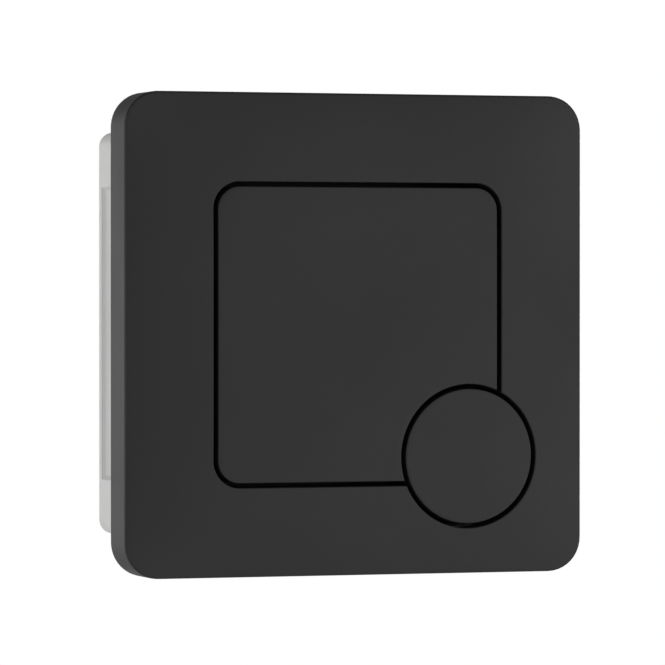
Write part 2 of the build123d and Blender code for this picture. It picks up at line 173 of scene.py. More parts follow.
@dataclass(frozen=True)
class Finish:
    """A surface whose colour, gloss and grain all vary a little.

    Sizes are in millimetres, so a pattern has the same scale on every piece.
    """

    name: str
    slot: Slot
    colour: str
    second_colour: str
    roughness: float
    roughness_swing: float
    mottle_mm: float
    grain_mm: float
    grain_depth_mm: float
    ior: float = 1.5
    specular: float = 0.5
    metallic: float = 0.0
    glow: float = 0.0
    glow_mm: float = 0.0
    cells: bool = False

    # How fine the noise is that varies colour and gloss, and the stretch of it over which the gloss changes.
    MOTTLE_DETAIL: ClassVar[float] = 4.0
    MOTTLE_ROUGHNESS: ClassVar[float] = 0.55
    MOTTLE_LOW: ClassVar[float] = 0.3
    MOTTLE_HIGH: ClassVar[float] = 0.7
    # How fine the noise of the grain is.
    GRAIN_DETAIL: ClassVar[float] = 2.0

    def material(self) -> bpy.types.Material:
        """Builds the material, or returns it if it is there already.

        Returns:
            The material.
        """
        if self.name in bpy.data.materials:
            return bpy.data.materials[self.name]
        material = bpy.data.materials.new(self.name)
        material.use_nodes = True
        material.diffuse_color = linear(self.colour)
        tree = material.node_tree
        tree.nodes.clear()
        place = add_node(tree, "ShaderNodeTexCoord").outputs["Object"]
        mottle = add_node(
            tree,
            "ShaderNodeTexNoise",
            {
                "Vector": place,
                "Scale": 1 / (self.mottle_mm * MM),
                "Detail": self.MOTTLE_DETAIL,
                "Roughness": self.MOTTLE_ROUGHNESS,
            },
        )
        tone = add_node(
            tree,
            "ShaderNodeMix",
            {0: mottle.outputs["Fac"], 6: linear(self.colour), 7: linear(self.second_colour)},
            data_type="RGBA",
        )
        gloss = add_node(
            tree,
            "ShaderNodeMapRange",
            {
                "Value": mottle.outputs["Fac"],
                "From Min": self.MOTTLE_LOW,
                "From Max": self.MOTTLE_HIGH,
                "To Min": self.roughness - self.roughness_swing,
                "To Max": self.roughness + self.roughness_swing,
            },
        )
        bump = add_node(
            tree,
            "ShaderNodeBump",
            {"Height": self._grain(tree, place), "Distance": self.grain_depth_mm * MM},
        )
        shader = add_node(
            tree,
            "ShaderNodeBsdfPrincipled",
            {
                "Base Color": tone.outputs[2],
                "Roughness": gloss.outputs["Result"],
                "Normal": bump.outputs["Normal"],
                "Metallic": self.metallic,
                "IOR": self.ior,
                "Specular IOR Level": self.specular,
                "Subsurface Weight": self.glow,
                "Subsurface Scale": self.glow_mm * MM,
                "Subsurface Radius": (1.0, 1.0, 1.0),
            },
        )
        add_node(tree, "ShaderNodeOutputMaterial", {"Surface": shader.outputs["BSDF"]})
        return material

    def _grain(self, tree: bpy.types.NodeTree, place: bpy.types.NodeSocket) -> bpy.types.NodeSocket:
        """Height of the fine grain: rounded cells for a foam, an etched grain for the rest.

        Args:
            tree: The material's node tree.
            place: Where on the piece.

        Returns:
            The height, from 0 to 1.
        """
        inputs = {"Vector": place, "Scale": 1 / (self.grain_mm * MM)}
        if self.cells:
            return add_node(tree, "ShaderNodeTexVoronoi", inputs).outputs["Distance"]
        inputs["Detail"] = self.GRAIN_DETAIL
        return add_node(tree, "ShaderNodeTexNoise", inputs).outputs["Fac"]


# ABS moulded against a finely etched tool: near black, with a soft satin sheen that fades out at its edges.
# The real grain is about 0.1 mm, and is drawn at 0.45 mm so that it shows.
BLACK_ABS = Finish(
    "satin_black_abs", Slot.BLACK_ABS, colour="#191919", second_colour="#1c1c1c", roughness=0.6,
    roughness_swing=0.03, mottle_mm=30.0, grain_mm=0.45, grain_depth_mm=0.004, specular=0.3,
)
# Natural polypropylene: a pale grey that lets a little light in, with dull flow marks from the mould.
NATURAL_PP = Finish(
    "natural_polypropylene", Slot.NATURAL_PP, colour="#c6c6c5", second_colour="#c0c1c0", roughness=0.55,
    roughness_swing=0.05, mottle_mm=14.0, grain_mm=0.6, grain_depth_mm=0.01, ior=1.49, specular=0.2,
    glow=0.12, glow_mm=0.8,
)
# Acetal: a whiter, slicker plastic for what is screwed.
WHITE_ACETAL = Finish(
    "white_acetal", Slot.WHITE_ACETAL, colour="#e6e6e2", second_colour="#dddedb", roughness=0.32,
    roughness_swing=0.04, mottle_mm=9.0, grain_mm=0.5, grain_depth_mm=0.006, ior=1.48, glow=0.1, glow_mm=0.6,
)
# Black acetal, for what slides: dark and a little slick, so that the gaps round the buttons stay black.
BLACK_ACETAL = Finish(
    "black_acetal", Slot.BLACK_ACETAL, colour="#1b1b1b", second_colour="#202020", roughness=0.42,
    roughness_swing=0.05, mottle_mm=12.0, grain_mm=0.5, grain_depth_mm=0.006, ior=1.48, specular=0.3,
)
# EPDM rubber: dull black with a grey bloom in patches.
EPDM_RUBBER = Finish(
    "epdm_rubber", Slot.EPDM_RUBBER, colour="#262626", second_colour="#3a3a39", roughness=0.74,
    roughness_swing=0.08, mottle_mm=5.0, grain_mm=0.35, grain_depth_mm=0.02, specular=0.3,
)
# Closed-cell foam: a soft dark grey, pitted all over with small cells.
FOAM_SEAL = Finish(
    "closed_cell_foam", Slot.FOAM_SEAL, colour="#474747", second_colour="#3c3c3c", roughness=0.9,
    roughness_swing=0.04, mottle_mm=4.0, grain_mm=0.7, grain_depth_mm=0.12, ior=1.4, specular=0.2, cells=True,
)
# Zinc-plated steel: a pale, slightly cloudy metal.
ZINC_STEEL = Finish(
    "zinc_plated_steel", Slot.ZINC_STEEL, colour="#cdced1", second_colour="#bdc0c6", roughness=0.3,
    roughness_swing=0.07, mottle_mm=2.0, grain_mm=0.25, grain_depth_mm=0.003, metallic=1.0,
)
# Drawn spring steel: a darker metal with a dull drawn skin.
SPRING_STEEL = Finish(
    "drawn_spring_steel", Slot.SPRING_STEEL, colour="#b9bbbd", second_colour="#a2a4a7", roughness=0.34,
    roughness_swing=0.06, mottle_mm=1.2, grain_mm=0.2, grain_depth_mm=0.003, metallic=1.0,
)


@dataclass(frozen=True)
class NodeBox:
    """Where a piece of the frame lies, in millimetres."""

    low: Vector
    high: Vector

    @classmethod
    def of(cls, node: str) -> "NodeBox":
        """Reads the box of one piece of the frame."""
        low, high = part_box(node)
        return cls(low / MM, high / MM)

    @property
    def spot(self) -> Spot:
        """Middle of the box, seen square on."""
        middle = (self.low + self.high) / 2
        return middle.x, middle.z

    @property
    def half_width(self) -> float:
        """Half of the box's width along X."""
        return (self.high.x - self.low.x) / 2


def unit(angle: float) -> np.ndarray:
    """Direction at an angle from +X towards +Z."""
    return np.array((cos(angle), sin(angle)))


def run(start: Spot, end: Spot, count: int) -> np.ndarray:
    """Points along a straight run, without its end.

    Args:
        start: First point.
        end: Where the run ends.
        count: How many points.

    Returns:
        One row for each point.
    """
    shares = np.arange(count)[:, None] / count
    return np.array(start) * (1 - shares) + np.array(end) * shares


def arc(centre: Spot, radius: float, start: float, end: float, count: int) -> np.ndarray:
    """Points along an arc, without its end.

    Args:
        centre: Centre of the arc.
        radius: Its radius.
        start: Angle of its first point, in radians from +X towards +Z.
        end: Angle of its end.
        count: How many points.

    Returns:
        One row for each point.
    """
    angles = start + (end - start) * np.arange(count) / count
    return np.array(centre) + radius * np.column_stack((np.cos(angles), np.sin(angles)))


def square_and_round(
    half: float, corner_r: float, spot: Spot, round_r: float, bitten: bool
) -> np.ndarray:
    """A rounded square whose lower right corner is joined to a disc, or bitten by it.

    Args:
        half: Half of the square's side.
        corner_r: Radius of its other three corners.
        spot: Middle of the disc.
        round_r: Radius of the disc.
        bitten: Whether the disc is cut from the square.

    Returns:
        The outline, clockwise seen from the front. Every size gives as many points.
    """
    x, z = spot
    inner = half - corner_r
    right_z = z + sqrt(round_r ** 2 - (half - x) ** 2)
    below_x = x - sqrt(round_r ** 2 - (half + z) ** 2)
    start = np.arctan2(right_z - z, half - x)
    end = np.arctan2(-half - z, below_x - x)
    return np.concatenate((
        run((half, inner), (half, right_z), SHORT_RUN),
        arc(spot, round_r, start, end + 2 * pi if bitten else end, DISC_ARC),
        run((below_x, -half), (-inner, -half), SHORT_RUN),
        arc((-inner, -inner), corner_r, -pi / 2, -pi, CORNER_ARC),
        run((-half, -inner), (-half, inner), LONG_RUN),
        arc((-inner, inner), corner_r, pi, pi / 2, CORNER_ARC),
        run((-inner, half), (inner, half), LONG_RUN),
        arc((inner, inner), corner_r, pi / 2, 0, CORNER_ARC),
    ))


def rounded_square_along(rays: np.ndarray, half: float, corner_r: float) -> np.ndarray:
    """Where rays from the middle meet a rounded square.

    Args:
        rays: One direction a row, of unit length.
        half: Half of the square's side.
        corner_r: Radius of its corners.

    Returns:
        One point a row.
    """
    across = np.abs(rays)
    reach = half / across.max(axis=1)
    inner = half - corner_r
    lean = inner * across.sum(axis=1)
    on_corner = lean + np.sqrt(np.maximum(lean ** 2 - 2 * inner ** 2 + corner_r ** 2, 0))
    past_side = reach * across.min(axis=1) > inner
    return rays * np.where(past_side, on_corner, reach)[:, None]


@dataclass
class Shell:
    """A closed skin made of rings, each a flat outline at one depth.

    A ring that is marked as crowned is lifted onto the crown of the plate later.
    """

    outlines: list[np.ndarray]
    depths: list[float]
    crowned: list[float]

    @classmethod
    def empty(cls) -> "Shell":
        """Starts a skin with no rings."""
        return cls([], [], [])

    def ring(self, outline: np.ndarray, depth: float, crowned: bool = False) -> None:
        """Adds a ring to the skin.

        Args:
            outline: The ring's outline.
            depth: How deep it lies.
            crowned: Whether it is lifted onto the crown.
        """
        self.outlines.append(outline)
        self.depths.append(depth)
        self.crowned.append(float(crowned))

    def mesh(self, name: str, around: bool) -> bpy.types.Mesh:
        """Joins the rings.

        Args:
            name: Name of the mesh.
            around: Whether the last ring joins the first. If not, each end is closed by a fan.

        Returns:
            The mesh, in metres, with the crown's share of each point as an attribute.
        """
        count = len(self.outlines[0])
        rings = len(self.outlines)
        points = [(x, depth, z) for ring, depth in zip(self.outlines, self.depths) for x, z in ring]
        shares = [share for share in self.crowned for _ in range(count)]
        faces = []
        for i in range(rings if around else rings - 1):
            near, far = i * count, (i + 1) % rings * count
            for j in range(count):
                after = (j + 1) % count
                faces.append((near + j, near + after, far + after, far + j))
        for first in () if around else (0, (rings - 1) * count):
            x, z = self.outlines[first // count].mean(axis=0)
            points.append((x, self.depths[first // count], z))
            shares.append(self.crowned[first // count])
            faces += [(first + j, first + (j + 1) % count, len(points) - 1) for j in range(count)]
        mesh = bpy.data.meshes.new(name)
        mesh.from_pydata([tuple(c * MM for c in p) for p in points], [], faces)
        mesh.attributes.new(Crown.SHARE, "FLOAT", "POINT").data.foreach_set("value", shares)
        face_outwards(mesh)
        return mesh


def face_outwards(mesh: bpy.types.Mesh) -> None:
    """Turns every face of a closed mesh outwards.

    Args:
        mesh: The mesh.
    """
    work = bmesh.new()
    work.from_mesh(mesh)
    bmesh.ops.recalc_face_normals(work, faces=work.faces)
    work.to_mesh(mesh)
    work.free()


def place_object(mesh: bpy.types.Mesh, name: str) -> bpy.types.Object:
    """Puts a mesh in the scene as an object of its own.

    Args:
        mesh: The mesh.
        name: Name of the object.

    Returns:
        The object.
    """
    piece = bpy.data.objects.new(name, mesh)
    bpy.context.scene.collection.objects.link(piece)
    return piece


def settle(piece: bpy.types.Object) -> None:
    """Makes what an object's modifiers give its plain mesh, and takes them off.

    Args:
        piece: The object.
    """
    depsgraph = bpy.context.evaluated_depsgraph_get()
    mesh = bpy.data.meshes.new_from_object(piece.evaluated_get(depsgraph))
    piece.modifiers.clear()
    piece.data = mesh
    mesh.name = piece.name


def shade(piece: bpy.types.Object) -> None:
    """Shades an object smooth, with its sharp edges kept and its flat faces left flat beside rounded ones.

    Args:
        piece: The object.
    """
    piece.data.shade_smooth()
    piece.data.set_sharp_from_angle(angle=SMOOTH_ANGLE)
    weights = piece.modifiers.new("flat_faces", "WEIGHTED_NORMAL")
    weights.keep_sharp = True
    settle(piece)


def grow_by_nodes(
    piece: bpy.types.Object, tree: bpy.types.NodeTree, values: Mapping[str, Any]
) -> None:
    """Runs a geometry node tree on an object and keeps the result as its mesh.

    Args:
        piece: The object.
        tree: The tree.
        values: The tree's inputs by name.
    """
    modifier = piece.modifiers.new(tree.name, "NODES")
    modifier.node_group = tree
    for item in tree.interface.items_tree:
        if item.in_out == "INPUT" and item.name in values:
            modifier[item.identifier] = values[item.name]
    settle(piece)


def start_tree(name: str, inputs: Mapping[str, str]) -> tuple[bpy.types.NodeTree, bpy.types.Node]:
    """Starts a geometry node tree.

    Args:
        name: Name of the tree.
        inputs: Kind of each named input, such as Float, after the geometry itself.

    Returns:
        The tree and its input node.
    """
    tree = bpy.data.node_groups.new(name, "GeometryNodeTree")
    tree.interface.new_socket("Geometry", in_out="OUTPUT", socket_type="NodeSocketGeometry")
    tree.interface.new_socket("Geometry", in_out="INPUT", socket_type="NodeSocketGeometry")
    for label, kind in inputs.items():
        tree.interface.new_socket(label, in_out="INPUT", socket_type=f"NodeSocket{kind}")
    return tree, add_node(tree, "NodeGroupInput")


def end_tree(
    tree: bpy.types.NodeTree, given: bpy.types.Node, geometry: bpy.types.NodeSocket
) -> bpy.types.NodeTree:
    """Ends a geometry node tree with real geometry that has its material.

    Args:
        tree: The tree.
        given: Its input node, which has a Material input.
        geometry: What the tree has made.

    Returns:
        The tree.
    """
    real = add_node(tree, "GeometryNodeRealizeInstances", {"Geometry": geometry})
    dressed = add_node(
        tree,
        "GeometryNodeSetMaterial",
        {"Geometry": real.outputs["Geometry"], "Material": given.outputs["Material"]},
    )
    add_node(tree, "NodeGroupOutput", {"Geometry": dressed.outputs["Geometry"]})
    return tree


def combine(piece: bpy.types.Object, meshes: Iterable[bpy.types.Mesh], how: Join) -> None:
    """Joins closed shapes to an object as one skin, or cuts them from it.

    Args:
        piece: The object.
        meshes: The shapes, which reach into it.
        how: Whether they are added or cut.
    """
    for mesh in meshes:
        tool = place_object(mesh, mesh.name)
        joint = piece.modifiers.new(mesh.name, "BOOLEAN")
        joint.operation = how.value
        joint.solver = "MANIFOLD"
        joint.object = tool
        settle(piece)
        bpy.data.objects.remove(tool)


def rectangle(spot: Spot, width: float, height: float) -> np.ndarray:
    """Corners of an upright rectangle, clockwise from its upper left."""
    signs = np.array([(-1, 1), (1, 1), (1, -1), (-1, -1)])
    return np.array(spot) + signs * (width / 2, height / 2)


def prism(name: str, outline: np.ndarray, front: float, back: float) -> bpy.types.Mesh:
    """Straight bar of one outline.

    Args:
        name: Name of the mesh.
        outline: The outline, seen from the front.
        front: Depth of its front end.
        back: Depth of its back end.

    Returns:
        The mesh.
    """
    skin = Shell.empty()
    skin.ring(outline, front)
    skin.ring(outline, back)
    return skin.mesh(name, around=False)


def rounded_rectangle(spot: Spot, width: float, height: float, radius: float) -> np.ndarray:
    """Outline of an upright rectangle with rounded corners.

    Args:
        spot: Its middle.
        width: Its width.
        height: Its height.
        radius: Radius of its corners.

    Returns:
        The outline, clockwise from its upper left.
    """
    points = []
    for middle, start in zip(
        rectangle(spot, width - 2 * radius, height - 2 * radius), (pi, pi / 2, 0, -pi / 2)
    ):
        end = start - pi / 2
        points += [*arc(middle, radius, start, end, BAR_ARC), middle + radius * unit(end)]
    return np.array(points)


def soft_bar(
    name: str, spot: Spot, width: float, height: float, front: float, back: float
) -> bpy.types.Mesh:
    """Upright bar with rounded long edges, whose ends have a softly chamfered edge.

    Args:
        name: Name of the mesh.
        spot: Its middle, seen from the front.
        width: Its width.
        height: Its height.
        front: Depth of its front end.
        back: Depth of its back end.

    Returns:
        The mesh.
    """
    skin = Shell.empty()
    for inset, depth in (
        (SOFT_EDGE, front), (0, front + SOFT_EDGE), (0, back - SOFT_EDGE), (SOFT_EDGE, back)
    ):
        skin.ring(rounded_rectangle(spot, width - 2 * inset, height - 2 * inset, BAR_R - inset), depth)
    return skin.mesh(name, around=False)


def hole(name: str, spot: Spot, radius: float, front: float, back: float) -> bpy.types.Mesh:
    """Shape of a round hole with a softly chamfered rim at each end.

    Args:
        name: Name of the mesh.
        spot: Its middle, seen from the front.
        radius: Its radius.
        front: Depth of the face that it opens in front.
        back: Depth of the face that it opens at the back.

    Returns:
        The mesh, which runs a little past both faces.
    """
    skin = Shell.empty()
    flare = radius + 2 * SOFT_EDGE
    for size, depth in (
        (flare, front - SOFT_EDGE),
        (radius, front + SOFT_EDGE),
        (radius, back - SOFT_EDGE),
        (flare, back + SOFT_EDGE),
    ):
        skin.ring(arc(spot, size, 0, -2 * pi, HOLE_ARC), depth)
    return skin.mesh(name, around=False)


def softened_copy(node: str, edge_mm: float, finish: Finish) -> bpy.types.Object:
    """Copy of a piece of the frame with its edges rounded, as a mould or a tumbler leaves them.

    Args:
        node: Name of the piece.
        edge_mm: Radius of the edges.
        finish: Its finish.

    Returns:
        The object.
    """
    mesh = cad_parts[node].data.copy()
    work = bmesh.new()
    work.from_mesh(mesh)
    bmesh.ops.remove_doubles(work, verts=work.verts, dist=WELD * MM)
    bmesh.ops.dissolve_limit(work, angle_limit=FLAT_ANGLE, verts=work.verts, edges=work.edges)
    work.to_mesh(mesh)
    work.free()
    mesh.materials.clear()
    mesh.materials.append(finish.material())
    piece = place_object(mesh, f"{node}_soft")
    bevel = piece.modifiers.new("soft_edges", "BEVEL")
    bevel.width = edge_mm * MM
    bevel.segments = EDGE_FACES
    bevel.limit_method = "ANGLE"
    bevel.angle_limit = SMOOTH_ANGLE
    bevel.miter_outer = "MITER_ARC"
    settle(piece)
    shade(piece)
    return piece


def dress(piece: bpy.types.Object, finish: Finish) -> None:
    """Gives a piece one finish all over and shades it.

    Args:
        piece: The piece.
        finish: Its finish.
    """
    piece.data.materials.clear()
    piece.data.materials.append(finish.material())
    shade(piece)


def hand_over(piece: bpy.types.Object, body: Body, finish: Finish, *nodes: str) -> None:
    """Fixes a finished piece to its body in place of pieces of the frame.

    Args:
        piece: The piece.
        body: What it moves with.
        finish: Not used.
        nodes: What it stands for.
    """
    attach(piece, body.value)
    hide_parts(*nodes)
    log.info("%s: %d faces, for %s", piece.name, len(piece.data.polygons), ", ".join(nodes))


def squash(piece: bpy.types.Object, node: str) -> None:
    """Gives a piece its own copy of its mesh; the piece does not shorten as a button goes in.

    Args:
        piece: The piece.
        node: What it stands for in the frame.
    """
    box = NodeBox.of(node)
    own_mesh(piece)


@dataclass
class Crown:
    """The gentle dome that the plate and both buttons share.

    It rises by rise * (1 - x**4) * (1 - z**4), with x and z counted in half plates, so it is nil at the rim.
    A point is lifted by its share, which the mesh holds as an attribute.
    """

    half: float
    rim_depth: float
    rise: float

    SHARE: ClassVar[str] = "crown_share"
    POWER: ClassVar[float] = 4.0

    def tree(self) -> bpy.types.NodeTree:
        """Builds the tree that lifts a flat front onto the dome.

        Returns:
            The tree.
        """
        if "crown" in bpy.data.node_groups:
            return bpy.data.node_groups["crown"]
        tree, given = start_tree("crown", {"Half Size": "Float", "Rise": "Float", "Material": "Material"})
        position = add_node(tree, "GeometryNodeInputPosition").outputs["Position"]
        apart = add_node(tree, "ShaderNodeSeparateXYZ", {0: position})
        half = given.outputs["Half Size"]
        lift = given.outputs["Rise"]
        for axis in ("X", "Z"):
            place = add_node(tree, "ShaderNodeMath", {0: apart.outputs[axis], 1: half}, operation="DIVIDE")
            size = add_node(tree, "ShaderNodeMath", {0: place.outputs[0]}, operation="ABSOLUTE")
            fall = add_node(tree, "ShaderNodeMath", {0: size.outputs[0], 1: self.POWER}, operation="POWER")
            left = add_node(tree, "ShaderNodeMath", {0: 1.0, 1: fall.outputs[0]}, operation="SUBTRACT")
            both = add_node(tree, "ShaderNodeMath", {0: lift, 1: left.outputs[0]}, operation="MULTIPLY")
            lift = both.outputs[0]
        share = add_node(tree, "GeometryNodeInputNamedAttribute", {"Name": self.SHARE}, data_type="FLOAT")
        out = add_node(tree, "ShaderNodeMath", {0: lift, 1: share.outputs[0]}, operation="MULTIPLY")
        back = add_node(tree, "ShaderNodeMath", {0: out.outputs[0], 1: -1.0}, operation="MULTIPLY")
        move = add_node(tree, "ShaderNodeCombineXYZ", {"Y": back.outputs[0]})
        lifted = add_node(
            tree,
            "GeometryNodeSetPosition",
            {"Geometry": given.outputs["Geometry"], "Offset": move.outputs["Vector"]},
        )
        return end_tree(tree, given, lifted.outputs["Geometry"])

    def lift(self, piece: bpy.types.Object, finish: Finish) -> None:
        """Lifts the front of a piece onto the dome and gives it its finish."""
        values = {"Half Size": self.half * MM, "Rise": self.rise * MM, "Material": finish.material()}
        grow_by_nodes(piece, self.tree(), values)


def rounded_edge(radius: float, steps: int) -> Profile:
    """How far in from the wall and down from the front each step of a rounded edge lies.

    Args:
        radius: Radius of the edge.
        steps: How many steps it has.

    Returns:
        Inset and drop, from the wall to the front.
    """
    turns = [pi / 2 * i / steps for i in range(steps + 1)]
    return [(radius * (1 - cos(turn)), radius * (1 - sin(turn))) for turn in turns]


@dataclass
class FacePlate:
    """The black plate: a shell with a crowned front, one opening for both buttons, ribs and snap hooks."""

    crown: Crown
    opening_half: float
    round_spot: Spot
    round_hole_r: float
    corner_r: float = 6.2
    opening_corner_r: float = 4.85
    edge_r: float = 0.45
    opening_edge_r: float = 0.2
    rear_edge_r: float = 0.15
    wall: float = 2.0
    collar_wall: float = 1.2
    collar_end: float = -4.4
    rib_wall: float = 1.2
    rib_reach: float = 19.0
    rib_end: float = -4.0
    hook_reach: float = 23.0
    hook_length: float = 12.0
    hook_bite: float = 0.9
    hook_front: float = -1.85
    hook_land: float = 0.4
    hook_height: float = 1.5
    front_rings: int = 20
    edge_steps: int = 6
    rear_steps: int = 3

    def opening(self, grow: float) -> np.ndarray:
        """Outline of the opening, grown all round."""
        return square_and_round(
            self.opening_half + grow,
            self.opening_corner_r + grow,
            self.round_spot,
            self.round_hole_r + grow,
            bitten=False,
        )

    def skin(self) -> bpy.types.Mesh:
        """Builds the shell, as rings that go once round its wall.

        Returns:
            The mesh.
        """
        middle = self.opening(0)
        rays = middle / np.linalg.norm(middle, axis=1)[:, None]
        half = self.crown.half
        front = -self.crown.rim_depth
        inside = front + self.wall
        skirt = rounded_square_along(rays, half - self.wall, self.corner_r - self.wall)
        skin = Shell.empty()
        for inset, rise in reversed(rounded_edge(self.rear_edge_r, self.rear_steps)):
            skin.ring(rounded_square_along(rays, half - inset, self.corner_r - inset), -rise)
        for inset, drop in rounded_edge(self.edge_r, self.edge_steps):
            skin.ring(rounded_square_along(rays, half - inset, self.corner_r - inset), front + drop, True)
        outer = skin.outlines[-1]
        inner = self.opening(self.opening_edge_r)
        for i in range(1, self.front_rings):
            share = i / self.front_rings
            skin.ring(outer * (1 - share) + inner * share, front, True)
        for inset, drop in reversed(rounded_edge(self.opening_edge_r, self.edge_steps)):
            skin.ring(self.opening(inset), front + drop, True)
        skin.ring(middle, self.collar_end)
        skin.ring(self.opening(self.collar_wall), self.collar_end)
        skin.ring(self.opening(self.collar_wall), inside)
        skin.ring(skirt, inside)
        skin.ring(skirt, 0)
        return skin.mesh("face_plate_skin", around=True)

    def ribs(self) -> list[bpy.types.Mesh]:
        """Ribs from the skirt to the collar of the opening, which is round at the lower right.

        Returns:
            One mesh for each rib.
        """
        start = self.crown.half - self.wall / 2
        front = self.wall / 2 - self.crown.rim_depth
        x, z = self.round_spot
        meshes = []
        for sign in (-1, 1):
            for along in (-self.rib_reach, self.rib_reach):
                across_end = upright_end = self.opening_half + self.collar_wall / 2
                if sign > 0 and along < 0:
                    across_end = x + sqrt(self.round_hole_r ** 2 - (along - z) ** 2) + self.collar_wall / 2
                if sign < 0 and along > 0:
                    upright_end = sqrt(self.round_hole_r ** 2 - (along - x) ** 2) - z + self.collar_wall / 2
                across_spot = (sign * (start + across_end) / 2, along)
                upright_spot = (along, sign * (start + upright_end) / 2)
                for outline in (
                    rectangle(across_spot, start - across_end, self.rib_wall),
                    rectangle(upright_spot, self.rib_wall, start - upright_end),
                ):
                    meshes.append(prism(f"plate_rib_{len(meshes)}", outline, front, self.rib_end))
        return meshes

    def hooks(self) -> list[bpy.types.Mesh]:
        """Snap hooks on the inside of the skirt, two to a side.

        Returns:
            One mesh for each hook.
        """
        root = self.crown.half - self.wall / 2
        tip = self.crown.half - self.wall - self.hook_bite
        front = self.hook_front
        profile = [
            (tip, front), (tip, front + self.hook_land), (root, front + self.hook_height), (root, front)
        ]
        # Each point of the profile gives two points, one at each end of the hook.
        faces = [(2 * i, 2 * i + 1, (2 * i + 3) % 8, (2 * i + 2) % 8) for i in range(4)]
        faces += [(0, 2, 4, 6), (1, 3, 5, 7)]
        half = self.hook_length / 2
        meshes = []
        for turn in range(4):
            out = unit(turn * pi / 2)
            side = np.array((-out[1], out[0]))
            for along in (-self.hook_reach, self.hook_reach):
                points = []
                for reach, depth in profile:
                    for end in (along - half, along + half):
                        x, z = out * reach + side * end
                        points.append((x * MM, depth * MM, z * MM))
                mesh = bpy.data.meshes.new(f"plate_hook_{len(meshes)}")
                mesh.from_pydata(points, [], faces)
                face_outwards(mesh)
                meshes.append(mesh)
        return meshes

    def build(self) -> None:
        """Builds and dresses the plate."""
        piece = place_object(self.skin(), "face_plate_moulding")
        self.crown.lift(piece, BLACK_ABS)
        combine(piece, self.ribs() + self.hooks(), Join.ADD)
        shade(piece)
        hand_over(piece, Body.WALL_UNIT, BLACK_ABS, "face_plate")


@dataclass
class Button:
    """A push button: a hollow cap on the same crown as the plate, with what it stands on."""

    crown: Crown
    node: str
    body: Body
    box: NodeBox
    clips: NodeBox
    skirt_end: float = -2.0
    wall: float = 1.8
    cap_wall: float = 0.6
    edge_r: float = 0.2
    edge_steps: int = 5
    cap_rings: int = 26
    sink: float = 0.3
    clip_notch: float = 0.7
    post_chamfer: float = 0.5

    @property
    def centre(self) -> Spot:
        """Where the rings of the cap meet."""
        return self.box.spot

    @property
    def cap_back(self) -> float:
        """Depth of the inside of the cap."""
        return self.cap_wall - self.crown.rim_depth

    def outline(self, inset: float) -> np.ndarray:
        """Outline of the button, taken in all round."""
        raise NotImplementedError

    def stem(self) -> list[bpy.types.Mesh]:
        """What stands on the inside of the cap."""
        raise NotImplementedError

    def skin(self) -> bpy.types.Mesh:
        """Builds the hollow cap, from the middle of its front round to the middle of its inside.

        Returns:
            The mesh.
        """
        front = -self.crown.rim_depth
        centre = np.array(self.centre)
        rim = self.outline(self.edge_r)
        skin = Shell.empty()
        for i in range(1, self.cap_rings + 1):
            skin.ring(centre + (rim - centre) * i / (self.cap_rings + 1), front, True)
        for inset, drop in reversed(rounded_edge(self.edge_r, self.edge_steps)):
            skin.ring(self.outline(inset), front + drop, True)
        skin.ring(self.outline(0), self.skirt_end)
        skin.ring(self.outline(self.wall), self.skirt_end)
        skin.ring(self.outline(self.wall), self.cap_back)
        inner = self.outline(self.wall)
        skin.ring(centre + (inner - centre) / 2, self.cap_back)
        return skin.mesh(f"{self.node}_skin", around=False)

    def post(self, spot: Spot, size: float) -> Shell:
        """Rings of a square post with a neck for its clip and a chamfered end.

        Args:
            spot: Where it stands.
            size: Its width.

        Returns:
            The skin, open at both ends.
        """
        end = self.box.high.y
        neck = size - 2 * self.clip_notch
        tip = size - 2 * self.post_chamfer
        skin = Shell.empty()
        for width, height, depth in (
            (size, size, self.cap_back - self.sink),
            (size, size, self.clips.low.y),
            (neck, size, self.clips.low.y),
            (neck, size, self.clips.high.y),
            (size, size, self.clips.high.y),
            (size, size, end - self.post_chamfer),
            (tip, tip, end),
        ):
            skin.ring(rectangle(spot, width, height), depth)
        return skin

    def build(self) -> None:
        """Builds and dresses the button."""
        piece = place_object(self.skin(), f"{self.node}_moulding")
        self.crown.lift(piece, BLACK_ABS)
        combine(piece, self.stem(), Join.ADD)
        shade(piece)
        hand_over(piece, self.body, BLACK_ABS, self.node)


@dataclass(kw_only=True)
class SquareButton(Button):
    """The large button: a rounded square with a round bite, three posts and a cross for the bellows."""

    bite_spot: Spot
    bite_r: float
    post_spots: Sequence[Spot]
    pusher_spot: Spot
    pusher_end: float
    corner_r: float = 4.0
    post_size: float = 4.4
    pusher_size: float = 12.0
    pusher_wall: float = 2.0
    rib_wall: float = 1.2
    rib_height: float = 3.4
    centre_shift: float = 6.0

    @property
    def centre(self) -> Spot:
        """Where the rings of the cap meet: away from the bite, so that they lie side by side."""
        return -self.centre_shift, self.centre_shift

    def outline(self, inset: float) -> np.ndarray:
        """Outline of the button, taken in all round."""
        half = self.box.half_width - inset
        return square_and_round(half, self.corner_r - inset, self.bite_spot, self.bite_r + inset, bitten=True)

    def stem(self) -> list[bpy.types.Mesh]:
        """Posts, the pusher's cross and the two ribs that run through it.

        Returns:
            One mesh for each.
        """
        start = self.cap_back - self.sink
        x, z = self.pusher_spot
        length = 2 * self.box.half_width - self.wall
        size = self.pusher_size
        wall = self.pusher_wall
        rib_end = self.cap_back + self.rib_height
        bars = [
            prism("rib_across", rectangle((0, z), length, self.rib_wall), start, rib_end),
            prism("rib_up", rectangle((x, 0), self.rib_wall, length), start, rib_end),
            prism("pusher_across", rectangle((x, z), size, wall), start, self.pusher_end),
            prism("pusher_up", rectangle((x, z), wall, size), start, self.pusher_end),
        ]
        posts = [
            self.post(spot, self.post_size).mesh(f"post_{i}", around=False)
            for i, spot in enumerate(self.post_spots)
        ]
        return bars + posts


